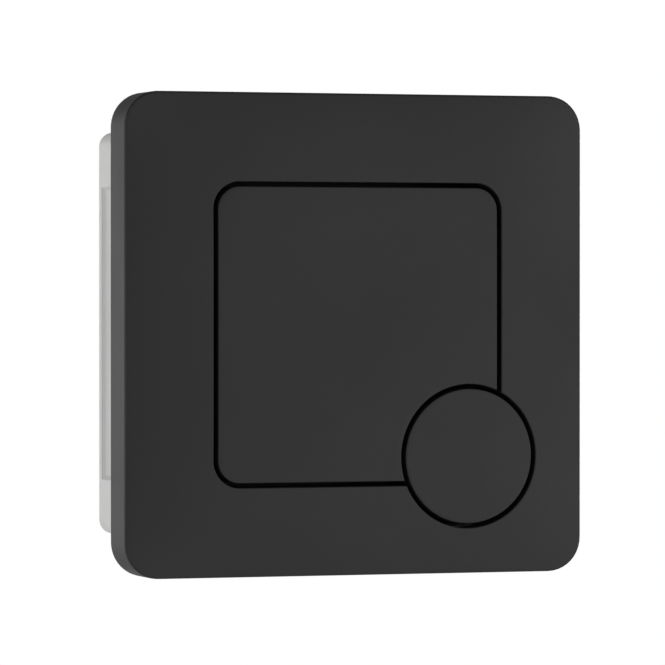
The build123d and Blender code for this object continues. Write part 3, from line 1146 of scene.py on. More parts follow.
@dataclass
class RoundButton(Button):
    """The small button: a disc on a square hollow plunger, which keeps it from turning."""

    plunger_size: float = 8.4
    plunger_wall: float = 1.6
    points: int = 120

    def outline(self, inset: float) -> np.ndarray:
        """Outline of the button, taken in all round."""
        return arc(self.centre, self.box.half_width - inset, 0, -2 * pi, self.points)

    def stem(self) -> list[bpy.types.Mesh]:
        """The plunger, hollow from its end to the cap.

        Returns:
            Its mesh.
        """
        skin = self.post(self.centre, self.plunger_size)
        bore_size = self.plunger_size - 2 * self.plunger_wall
        bore = rectangle(self.centre, bore_size, bore_size)
        skin.ring(bore, self.box.high.y)
        skin.ring(bore, self.cap_back - self.sink / 2)
        return [skin.mesh("plunger", around=False)]


@dataclass
class WallBox:
    """The pale box in the wall, with a panel sunk in each side, and the foam seal behind its flange."""

    box: NodeBox
    seal_box: NodeBox
    floor: float
    bellows_spots: Sequence[Spot]
    pilot_spots: Sequence[Spot]
    half: float = 36.8
    corner_r: float = 2.6
    inner_half: float = 34.8
    inner_r: float = 1.2
    flange_r: float = 3.8
    edge_r: float = 0.4
    edge_steps: int = 4
    flange_edge_r: float = 0.3
    flange_steps: int = 3
    corner_points: int = 12
    side_reach: float = 20.0
    side_points: int = 9
    panel_reach: float = 26.65
    panel_front: float = 3.0
    panel_back: float = 27.6
    panel_sink: float = 0.9
    panel_edge_r: float = 0.2
    panel_draft: float = 0.25
    panel_dish_reach: float = 2.0
    panel_dish_rise: float = 0.55
    panel_steps: int = 6
    post_size: float = 6.4
    post_root: float = 1.0
    pilot_r: float = 1.45
    pilot_end: float = 16.8
    nipple_hole_r: float = 3.05
    fixing_reach: float = 30.15
    fixing_r: float = 2.25
    seal_r: float = 2.6
    seal_gap: float = 0.25
    seal_edge_r: float = 0.4

    @property
    def flange_back(self) -> float:
        """Depth of the back of the flange, which the seal lies against."""
        return self.seal_box.low.y

    def step(self) -> Profile:
        """Rounded step from a side down to its panel, which dishes gently up to the step.

        Returns:
            How far inside the panel's edge each point lies, and how deep.
        """
        turns = [pi / 2 * i / self.panel_steps for i in range(self.panel_steps + 1)]
        radius, reach, rise = self.panel_edge_r, self.panel_dish_reach, self.panel_dish_rise
        brim = [(radius * (sin(turn) - 1), radius * (1 - cos(turn))) for turn in turns]
        dish = [
            (self.panel_draft + reach * (1 - cos(turn)), self.panel_sink - rise * (1 - sin(turn)))
            for turn in turns
        ]
        return brim + dish

    def outline(self, half: float, corner_r: float, press: float = 0.0) -> np.ndarray:
        """Rounded square whose sides are pressed in where the panels are.

        Args:
            half: Half of its width.
            corner_r: Radius of its corners.
            press: How deep it may be pressed in.

        Returns:
            The outline. Every size gives as many points.
        """
        inner = half - corner_r
        near = [(self.panel_reach - along, min(depth, press)) for along, depth in self.step()]
        side = [(-inner, 0.0)] + [(-along, depth) for along, depth in near]
        side += [(along, press) for along in np.linspace(-self.side_reach, self.side_reach, self.side_points)]
        side += near[::-1]
        points = []
        for turn in range(4):
            start, end = turn * pi / 2, (turn + 1) * pi / 2
            out = unit(start)
            across = np.array((-out[1], out[0]))
            points += [out * (half - depth) + across * along for along, depth in side]
            points += list(arc(inner * (out + across), corner_r, start, end, self.corner_points))
        return np.array(points)

    def skin(self) -> bpy.types.Mesh:
        """Builds the open box, from the middle of its floor round its wall to the middle of its back.

        Returns:
            The mesh.
        """
        front, back = self.box.low.y, self.box.high.y
        flange_half = self.box.half_width
        brim = rounded_edge(self.flange_edge_r, self.flange_steps)
        skin = Shell.empty()
        skin.ring(self.outline(self.inner_half, self.inner_r) / 2, self.floor)
        skin.ring(self.outline(self.inner_half, self.inner_r), self.floor)
        for inset, drop in brim:
            skin.ring(self.outline(self.inner_half + inset, self.inner_r + inset), front + drop)
        for inset, drop in reversed(brim):
            skin.ring(self.outline(flange_half - inset, self.flange_r - inset), front + drop)
        for inset, drop in brim:
            skin.ring(self.outline(flange_half - inset, self.flange_r - inset), self.flange_back - drop)
        skin.ring(self.outline(self.half, self.corner_r), self.flange_back)
        for along, depth in self.step():
            skin.ring(self.outline(self.half, self.corner_r, depth), self.panel_front + along)
        for along, depth in reversed(self.step()):
            skin.ring(self.outline(self.half, self.corner_r, depth), self.panel_back - along)
        for inset, drop in rounded_edge(self.edge_r, self.edge_steps):
            skin.ring(self.outline(self.half - inset, self.corner_r - inset), back - drop)
        skin.ring(self.outline(self.half, self.corner_r) / 2, back)
        return skin.mesh("housing_skin", around=False)

    def posts(self) -> list[bpy.types.Mesh]:
        """Corner posts that bear the carrier, rooted in the walls and the floor.

        Returns:
            One mesh for each post.
        """
        size = self.post_size + self.post_root
        reach = self.inner_half + self.post_root - size / 2
        end = self.floor + self.post_root
        return [
            soft_bar(f"post_{x}_{z}", (x * reach, z * reach), size, size, CARRIER_BACK, end)
            for x in (-1, 1)
            for z in (-1, 1)
        ]

    def holes(self) -> list[bpy.types.Mesh]:
        """Pilot holes of the carrier's screws, holes for the nipples and for the fixing screws.

        Returns:
            One mesh for each hole.
        """
        pilots = [
            hole(f"pilot_{i}", spot, self.pilot_r, CARRIER_BACK, self.pilot_end)
            for i, spot in enumerate(self.pilot_spots)
        ]
        through = [(spot, self.nipple_hole_r) for spot in self.bellows_spots]
        through += [((sign * self.fixing_reach, 0.0), self.fixing_r) for sign in (-1, 1)]
        return pilots + [
            hole(f"back_hole_{i}", spot, radius, self.floor, self.box.high.y)
            for i, (spot, radius) in enumerate(through)
        ]

    def seal(self) -> bpy.types.Mesh:
        """Builds the foam seal, as rings that go once round its section.

        Returns:
            The mesh.
        """
        front, back = self.seal_box.low.y, self.seal_box.high.y
        edge = rounded_edge(self.seal_edge_r, self.edge_steps)
        hole_half, hole_r = self.half + self.seal_gap, self.corner_r + self.seal_gap
        outer = [self.outline(self.seal_box.half_width - inset, self.seal_r - inset) for inset, _ in edge]
        inner = [self.outline(hole_half + inset, hole_r + inset) for inset, _ in edge]
        drops = [drop for _, drop in edge]
        skin = Shell.empty()
        for outline, drop in zip(outer, drops):
            skin.ring(outline, front + drop)
        for outline, drop in zip(inner[::-1], drops[::-1]):
            skin.ring(outline, front + drop)
        for outline, drop in zip(inner, drops):
            skin.ring(outline, back - drop)
        for outline, drop in zip(outer[::-1], drops[::-1]):
            skin.ring(outline, back - drop)
        return skin.mesh("flange_gasket_skin", around=True)

    def build(self) -> None:
        """Builds and dresses the box and its seal."""
        box = place_object(self.skin(), "housing_moulding")
        combine(box, self.posts(), Join.ADD)
        combine(box, self.holes(), Join.CUT)
        dress(box, NATURAL_PP)
        hand_over(box, Body.WALL_UNIT, NATURAL_PP, "housing")
        seal = place_object(self.seal(), "flange_gasket_foam")
        dress(seal, FOAM_SEAL)
        hand_over(seal, Body.WALL_UNIT, FOAM_SEAL, "flange_gasket")


@dataclass
class Carrier:
    """The frame that guides both buttons, with a sleeve for each post and for the plunger."""

    box: NodeBox
    sleeves: Sequence[tuple[Spot, float]]
    window_spot: Spot
    screw_spots: Sequence[Spot]
    rim_wall: float = 1.6
    rim_reach: float = 28.05
    rim_end: float = 9.8
    clearance: float = 0.08
    sleeve_wall: float = 1.4
    window: float = 13.6
    screw_hole_r: float = 1.7

    def bars(self) -> list[bpy.types.Mesh]:
        """Rim behind each side, and the sleeves.

        Returns:
            One mesh for each.
        """
        reach = self.box.half_width - self.rim_wall / 2
        start = (self.box.low.y + CARRIER_BACK) / 2
        long, wall = 2 * self.rim_reach, self.rim_wall
        sides = [((0, sign * reach), long, wall) for sign in (-1, 1)]
        sides += [((sign * reach, 0), wall, long) for sign in (-1, 1)]
        meshes = [
            soft_bar(f"rim_{i}", spot, width, height, start, self.rim_end)
            for i, (spot, width, height) in enumerate(sides)
        ]
        for i, (spot, size) in enumerate(self.sleeves):
            outer = size + 2 * (self.clearance + self.sleeve_wall)
            meshes.append(soft_bar(f"sleeve_{i}", spot, outer, outer, start, self.box.high.y))
        return meshes

    def openings(self) -> list[bpy.types.Mesh]:
        """Bores of the sleeves, the window for the pusher and the screw holes.

        Returns:
            One mesh for each.
        """
        front, end = self.box.low.y, self.box.high.y
        meshes = []
        for i, (spot, size) in enumerate(self.sleeves):
            bore = size + 2 * self.clearance
            meshes.append(prism(f"bore_{i}", rectangle(spot, bore, bore), front - CUT_PAST, end + CUT_PAST))
        window = rectangle(self.window_spot, self.window, self.window)
        meshes.append(prism("window", window, front - CUT_PAST, CARRIER_BACK + CUT_PAST))
        for i, spot in enumerate(self.screw_spots):
            meshes.append(hole(f"screw_hole_{i}", spot, self.screw_hole_r, front, CARRIER_BACK))
        return meshes

    def build(self) -> None:
        """Builds and dresses the carrier."""
        size = 2 * self.box.half_width
        plate = soft_bar("carrier_plate", (0, 0), size, size, self.box.low.y, CARRIER_BACK)
        carrier = place_object(plate, "button_carrier_moulding")
        combine(carrier, self.bars(), Join.ADD)
        combine(carrier, self.openings(), Join.CUT)
        dress(carrier, BLACK_ACETAL)
        hand_over(carrier, Body.WALL_UNIT, BLACK_ACETAL, "button_carrier")


@dataclass(frozen=True)
class Thread:
    """A screw thread along part of a turned piece, in millimetres."""

    start: float = 0.0
    end: float = 0.0
    pitch: float = 1.0
    depth: float = 0.0

    TURN_POINTS: ClassVar[int] = 8

    def profile(self, radius: float) -> Profile:
        """Points close enough together for the thread to show.

        Args:
            radius: Radius of its crest.

        Returns:
            Radius and depth of each point.
        """
        steps = round((self.end - self.start) / self.pitch * self.TURN_POINTS)
        return [(radius, float(depth)) for depth in np.linspace(self.start, self.end, steps + 1)]


def soften(profile: Profile, radius: float) -> Profile:
    """Rounds the corners of a profile.

    Args:
        profile: Radius and depth of each point.
        radius: How far the rounding reaches from each corner, where there is room.

    Returns:
        The rounded profile, with the same ends.
    """
    points = [np.array(point) for point in profile]
    rounded = [points[0]]
    for before, corner, after in zip(points, points[1:], points[2:]):
        ends = []
        for other in (before, after):
            leg = other - corner
            length = np.linalg.norm(leg)
            ends.append(corner + leg * min(radius / length, LEG_SHARE))
        middle = (ends[0] + 2 * corner + ends[1]) / 4
        rounded += [ends[0], middle, ends[1]]
    return [(float(r), float(depth)) for r, depth in rounded + [points[-1]]]


@dataclass
class Turned:
    """A piece turned about an axis that runs into the wall."""

    name: str
    profile: Profile
    spot: Spot = (0.0, 0.0)
    thread: Thread = Thread()
    segments: int = 72

    # Steps from a point's index to its place. Each has its name, its operation, the name of an earlier value,
    # and a second name or a number.
    STEPS: ClassVar[Sequence[tuple[str, str, str, str | float]]] = (
        ("columns", "ADD", "segments", 1.0),
        ("before", "SUBTRACT", "index", "row"),
        ("column", "DIVIDE", "before", "rows"),
        ("share", "DIVIDE", "column", "segments"),
        ("pitches", "DIVIDE", "depth", "pitch"),
        ("climb", "ADD", "pitches", "share"),
        ("saw", "FRACT", "climb", 0.0),
        ("double", "MULTIPLY", "saw", 2.0),
        ("wave", "SUBTRACT", "double", 1.0),
        ("groove", "ABSOLUTE", "wave", 0.0),
        ("past start", "GREATER_THAN", "depth", "thread start"),
        ("before end", "LESS_THAN", "depth", "thread end"),
        ("threaded", "MULTIPLY", "past start", "before end"),
        ("full cut", "MULTIPLY", "groove", "thread depth"),
        ("cut", "MULTIPLY", "full cut", "threaded"),
        ("cut radius", "SUBTRACT", "radius", "cut"),
        ("turn", "MULTIPLY", "share", 2 * pi),
        ("cosine", "COSINE", "turn", 0.0),
        ("sine", "SINE", "turn", 0.0),
        ("x", "MULTIPLY", "cut radius", "cosine"),
        ("z", "MULTIPLY", "cut radius", "sine"),
    )

    @classmethod
    def tree(cls) -> bpy.types.NodeTree:
        """Builds the tree that turns a profile, and winds a thread round part of it.

        The row of each point of a grid gives its radius and depth, and the column gives its turn.

        Returns:
            The tree.
        """
        if "lathe" in bpy.data.node_groups:
            return bpy.data.node_groups["lathe"]
        tree, given = start_tree(
            "lathe",
            {
                "Segments": "Int",
                "Middle": "Vector",
                "Thread Start": "Float",
                "Thread End": "Float",
                "Pitch": "Float",
                "Thread Depth": "Float",
                "Material": "Material",
            },
        )
        profile = given.outputs["Geometry"]
        size = add_node(tree, "GeometryNodeAttributeDomainSize", {"Geometry": profile})
        rows = size.outputs["Point Count"]
        index = add_node(tree, "GeometryNodeInputIndex").outputs["Index"]
        row = add_node(tree, "ShaderNodeMath", {0: index, 1: rows}, operation="MODULO").outputs[0]
        position = add_node(tree, "GeometryNodeInputPosition").outputs["Position"]
        place = add_node(
            tree,
            "GeometryNodeSampleIndex",
            {"Geometry": profile, "Value": position, "Index": row},
            data_type="FLOAT_VECTOR",
        )
        apart = add_node(tree, "ShaderNodeSeparateXYZ", {0: place.outputs["Value"]})
        values: dict[Any, bpy.types.NodeSocket] = {"index": index, "row": row, "rows": rows}
        values |= {"radius": apart.outputs["X"], "depth": apart.outputs["Y"]}
        for name in ("Segments", "Thread Start", "Thread End", "Pitch", "Thread Depth"):
            values[name.lower()] = given.outputs[name]
        for name, operation, first, second in cls.STEPS:
            inputs = {0: values[first], 1: values.get(second, second)}
            values[name] = add_node(tree, "ShaderNodeMath", inputs, operation=operation).outputs[0]
        grid = add_node(tree, "GeometryNodeMeshGrid", {"Vertices X": values["columns"], "Vertices Y": rows})
        turned = add_node(
            tree, "ShaderNodeCombineXYZ", {"X": values["x"], "Y": values["depth"], "Z": values["z"]}
        )
        moved = add_node(
            tree,
            "ShaderNodeVectorMath",
            {0: turned.outputs["Vector"], 1: given.outputs["Middle"]},
            operation="ADD",
        )
        laid = add_node(
            tree,
            "GeometryNodeSetPosition",
            {"Geometry": grid.outputs["Mesh"], "Position": moved.outputs["Vector"]},
        )
        closed = add_node(
            tree, "GeometryNodeMergeByDistance", {"Geometry": laid.outputs["Geometry"], "Distance": WELD * MM}
        )
        return end_tree(tree, given, closed.outputs["Geometry"])

    def build(self, finish: Finish) -> bpy.types.Object:
        """Builds and dresses the piece.

        Args:
            finish: Its finish.

        Returns:
            The object.
        """
        mesh = bpy.data.meshes.new(self.name)
        mesh.from_pydata([(radius * MM, depth * MM, 0) for radius, depth in self.profile], [], [])
        piece = place_object(mesh, self.name)
        values = {
            "Segments": self.segments,
            "Middle": (self.spot[0] * MM, 0.0, self.spot[1] * MM),
            "Thread Start": self.thread.start * MM,
            "Thread End": self.thread.end * MM,
            "Pitch": self.thread.pitch * MM,
            "Thread Depth": self.thread.depth * MM,
            "Material": finish.material(),
        }
        grow_by_nodes(piece, self.tree(), values)
        face_outwards(piece.data)
        piece.data.shade_smooth()
        piece.data.set_sharp_from_angle(angle=SMOOTH_ANGLE)
        return piece


@dataclass
class AirLine:
    """What one button pumps: a bellows, its hose nipple and the nut that holds it."""

    name: str
    press: Press
    folds: int
    fold_depth: float = 2.6
    bellows_wall: float = 1.3
    end_wall: float = 1.5
    fold_steps: int = 8
    end_edge: float = 0.5
    base_edge: float = 0.3
    bellows_segments: int = 96
    flange_wall: float = 1.2
    flange_r: float = 4.4
    shank_r: float = 3.0
    shank_fit: float = 0.05
    shank_out: float = 3.8
    stem_r: float = 2.2
    stem_length: float = 5.0
    barb_r: float = 2.8
    barb_land: float = 1.0
    tip_r: float = 2.0
    tip_length: float = 1.8
    bore_r: float = 1.3
    pitch: float = 1.0
    thread_depth: float = 0.3
    nipple_edge: float = 0.12
    nut_half: float = 5.0
    nut_chamfer: float = 0.5
    nut_points: int = 96
    rim: float = 0.3

    def bellows(self, box: NodeBox) -> Profile:
        """Profile of the bellows: a closed front, rounded folds and a base, then the hollow inside.

        Args:
            box: Where the bellows lies.

        Returns:
            Radius and depth of each point, from the axis at the front to the axis inside.
        """
        peak, front, back = box.half_width, box.low.y, box.high.y
        root = peak - self.fold_depth
        first, last = front + self.end_wall, back - self.end_wall
        waves = []
        for i in range(self.folds * self.fold_steps + 1):
            share = i / self.fold_steps % 1
            sharp = 1 - abs(2 * share - 1)
            curved = (1 - cos(2 * pi * share)) / 2
            depth = first + (last - first) * i / (self.folds * self.fold_steps)
            waves.append((root + self.fold_depth * (sharp + curved) / 2, depth))
        hole_r = self.shank_r + self.shank_fit
        hollow = [(radius - self.bellows_wall, depth) for radius, depth in reversed(waves)]
        end = soften([(0, front), (root, front), (root, first)], self.end_edge)[:-1]
        base = [(root, last), (peak, last), (peak, back), (hole_r, back), (hole_r, last)]
        return end + waves + soften(base, self.base_edge)[1:] + hollow + [(0, first)]

    def nipple(self, box: NodeBox) -> tuple[Profile, Thread]:
        """Profile of the nipple: a flange, a threaded shank, a stem and a barb, round a bore.

        Args:
            box: Where the nipple lies.

        Returns:
            The profile, which ends where it starts, and the thread.
        """
        front, tip = box.low.y, box.high.y
        land_end = tip - self.tip_length
        land_start = land_end - self.barb_land
        shank_end = land_start - self.stem_length
        thread_start, thread_end = shank_end - self.shank_out, shank_end - self.rim
        thread = Thread(thread_start, thread_end, self.pitch, self.thread_depth)
        inside = [(self.bore_r, tip), (self.bore_r, front), (self.flange_r, front)]
        collar = [(self.flange_r, front + self.flange_wall), (self.shank_r, front + self.flange_wall)]
        outside = [
            (self.shank_r - self.rim, shank_end),
            (self.stem_r, shank_end),
            (self.stem_r, land_start),
            (self.barb_r, land_start),
            (self.barb_r, land_end),
            (self.tip_r, tip),
            (self.bore_r, tip),
        ]
        lead = soften(inside + collar + [(self.shank_r, thread.start)], self.nipple_edge)[:-1]
        return lead + thread.profile(self.shank_r) + soften(outside, self.nipple_edge), thread

    def nut(self, box: NodeBox) -> bpy.types.Mesh:
        """Builds the hexagon nut, as rings that go once round its section.

        Args:
            box: Where the nut lies.

        Returns:
            The mesh.
        """
        front, back = box.low.y, box.high.y
        angles = np.linspace(0, 2 * pi, self.nut_points, endpoint=False)
        rays = np.column_stack((np.cos(angles), np.sin(angles)))
        reach = 1 / np.cos(angles % (pi / 3) - pi / 6)
        hole_r = self.shank_r + self.shank_fit
        skin = Shell.empty()
        for radius, depth in (
            (hole_r + self.rim, back),
            (hole_r, back - self.rim),
            (hole_r, front + self.rim),
            (hole_r + self.rim, front),
        ):
            skin.ring(np.array(box.spot) + rays * radius, depth)
        for half, depth in (
            (self.nut_half - SOFT_EDGE, front),
            (self.nut_half, front + SOFT_EDGE),
            (self.nut_half, back - self.nut_chamfer),
            (self.nut_half - self.nut_chamfer, back),
        ):
            skin.ring(np.array(box.spot) + rays * (half * reach)[:, None], depth)
        return skin.mesh(f"{self.name}_nipple_nut_skin", around=True)

    def build(self) -> None:
        """Builds and dresses the bellows, the nipple and the nut."""
        node = f"{self.name}_bellows"
        box = NodeBox.of(node)
        shape = Turned(f"{node}_rubber", self.bellows(box), box.spot, segments=self.bellows_segments)
        bellows = shape.build(EPDM_RUBBER)
        hand_over(bellows, Body.WALL_UNIT, EPDM_RUBBER, node)
        squash(bellows, node)
        node = f"{self.name}_hose_nipple"
        box = NodeBox.of(node)
        profile, thread = self.nipple(box)
        nipple = Turned(f"{node}_turned", profile, box.spot, thread).build(WHITE_ACETAL)
        hand_over(nipple, Body.WALL_UNIT, WHITE_ACETAL, node)
        node = f"{self.name}_nipple_nut"
        nut = place_object(self.nut(NodeBox.of(node)), f"{node}_hexagon")
        dress(nut, WHITE_ACETAL)
        hand_over(nut, Body.WALL_UNIT, WHITE_ACETAL, node)


@dataclass
class CarrierScrews:
    """Three pan-head screws with a cross recess, which hold the carrier to the box."""

    box: NodeBox
    head_r: float = 2.7
    head_height: float = 1.9
    head_edge: float = 0.4
    crown_share: float = 0.55
    crown_drop: float = 0.9
    neck: float = 0.6
    shank_r: float = 1.4
    pitch: float = 1.1
    thread_depth: float = 0.3
    point_length: float = 0.8
    point_share: float = 0.5
    segments: int = 48
    slot: float = 0.8
    slot_length: float = 3.2
    slot_depth: float = 1.1

    @property
    def spots(self) -> list[Spot]:
        """Where the screws are: in every corner but the lower right, where the round button is."""
        reach = self.box.half_width - self.head_r
        return [(-reach, reach), (reach, reach), (-reach, -reach)]

    @staticmethod
    def tree() -> bpy.types.NodeTree:
        """Builds the tree that puts a copy of one piece at every spot.

        Returns:
            The tree.
        """
        tree, given = start_tree("repeat", {"Piece": "Object", "Material": "Material"})
        piece = add_node(tree, "GeometryNodeObjectInfo", {"Object": given.outputs["Piece"]})
        copies = add_node(
            tree,
            "GeometryNodeInstanceOnPoints",
            {"Points": given.outputs["Geometry"], "Instance": piece.outputs["Geometry"]},
        )
        return end_tree(tree, given, copies.outputs["Instances"])

    def screw(self) -> bpy.types.Object:
        """Builds one screw on the axis of the frame.

        Returns:
            The object.
        """
        top, end = self.box.low.y, self.box.high.y
        seat = top + self.head_height
        thread = Thread(seat + self.neck, end - self.point_length, self.pitch, self.thread_depth)
        head = [
            (0, top),
            (self.crown_share * self.head_r, top),
            (self.head_r, top + self.crown_drop),
            (self.head_r, seat),
            (self.shank_r, seat),
        ]
        lead = soften(head + [(self.shank_r, thread.start)], self.head_edge)[:-1]
        point = [(self.point_share * self.shank_r, end), (0, end)]
        profile = lead + thread.profile(self.shank_r) + point
        screw = Turned("screw", profile, thread=thread, segments=self.segments).build(ZINC_STEEL)
        for width, height in ((self.slot_length, self.slot), (self.slot, self.slot_length)):
            outline = rectangle((0, 0), width, height)
            recess = prism("recess", outline, top - CUT_PAST, top + self.slot_depth)
            combine(screw, [recess], Join.CUT)
        return screw

    def build(self) -> None:
        """Builds and dresses the screws."""
        screw = self.screw()
        mesh = bpy.data.meshes.new("screw_spots")
        mesh.from_pydata([(x * MM, 0, z * MM) for x, z in self.spots], [], [])
        screws = place_object(mesh, "carrier_screws_turned")
        grow_by_nodes(screws, self.tree(), {"Piece": screw, "Material": ZINC_STEEL.material()})
        bpy.data.objects.remove(screw)
        shade(screws)
        hand_over(screws, Body.WALL_UNIT, ZINC_STEEL, "carrier_screws")


@dataclass
class ReturnSpring:
    """A coil of round wire round a post, from the cap of its button to the carrier."""

    node: str
    press: Press
    wire: float = 0.7
    turns: float = 3.0

    TURN_POINTS: ClassVar[int] = 40
    WIRE_POINTS: ClassVar[int] = 14

    @classmethod
    def tree(cls) -> bpy.types.NodeTree:
        """Builds the tree that winds the wire.

        Returns:
            The tree.
        """
        if "coil" in bpy.data.node_groups:
            return bpy.data.node_groups["coil"]
        tree, given = start_tree(
            "coil",
            {
                "Mean Radius": "Float",
                "Height": "Float",
                "Turns": "Float",
                "Wire Radius": "Float",
                "Start": "Vector",
                "Material": "Material",
            },
        )
        path = add_node(
            tree,
            "GeometryNodeCurveSpiral",
            {
                "Resolution": cls.TURN_POINTS,
                "Rotations": given.outputs["Turns"],
                "Start Radius": given.outputs["Mean Radius"],
                "End Radius": given.outputs["Mean Radius"],
                "Height": given.outputs["Height"],
            },
        )
        laid = add_node(
            tree,
            "GeometryNodeTransform",
            {
                "Geometry": path.outputs["Curve"],
                "Translation": given.outputs["Start"],
                "Rotation": (-pi / 2, 0.0, 0.0),
            },
        )
        section = add_node(
            tree,
            "GeometryNodeCurvePrimitiveCircle",
            {"Resolution": cls.WIRE_POINTS, "Radius": given.outputs["Wire Radius"]},
        )
        wire = add_node(
            tree,
            "GeometryNodeCurveToMesh",
            {"Curve": laid.outputs["Geometry"], "Profile Curve": section.outputs["Curve"], "Fill Caps": True},
        )
        return end_tree(tree, given, wire.outputs["Mesh"])

    def build(self) -> None:
        """Builds and dresses the spring."""
        box = NodeBox.of(self.node)
        x, z = box.spot
        length = box.high.y - box.low.y
        spring = place_object(bpy.data.meshes.new(self.node), f"{self.node}_wire")
        values = {
            "Mean Radius": (box.half_width - self.wire / 2) * MM,
            "Height": (length - self.wire) * MM,
            "Turns": self.turns,
            "Wire Radius": self.wire / 2 * MM,
            "Start": (x * MM, (box.low.y + self.wire / 2) * MM, z * MM),
            "Material": SPRING_STEEL.material(),
        }
        grow_by_nodes(spring, self.tree(), values)
        shade(spring)
        hand_over(spring, Body.WALL_UNIT, SPRING_STEEL, self.node)
        squash(spring, self.node)


@dataclass
class ForkClips:
    """Fork clips in the necks of the posts, or of the plunger."""

    node: str
    body: Body
    edge_mm: float = 0.08

    def build(self) -> None:
        """Builds and dresses the clips."""
        clips = softened_copy(self.node, self.edge_mm, SPRING_STEEL)
        hand_over(clips, self.body, SPRING_STEEL, self.node)


def towards(azimuth: float, elevation: float) -> Vector:
    """Direction from the plate: azimuth is to the right of its front, elevation is up, in degrees."""
    turn, tilt = radians(azimuth), radians(elevation)
    return Vector((sin(turn) * cos(tilt), -cos(turn) * cos(tilt), sin(tilt)))


@dataclass
class Lamp:
    """A soft lamp that faces the middle of the plate. Angles are in degrees and lengths in metres."""

    name: str
    azimuth: float
    elevation: float
    distance: float
    width: float
    height: float
    watts: float

    def build(self) -> None:
        """Hangs the lamp."""
        light = bpy.data.lights.new(self.name, "AREA")
        light.shape = "RECTANGLE"
        light.size = self.width
        light.size_y = self.height
        light.energy = self.watts
        lamp = bpy.data.objects.new(self.name, light)
        lamp.location = towards(self.azimuth, self.elevation) * self.distance
        lamp.rotation_euler = lamp.location.to_track_quat("Z", "Y").to_euler()
        lamp.visible_camera = False
        bpy.context.scene.collection.objects.link(lamp)


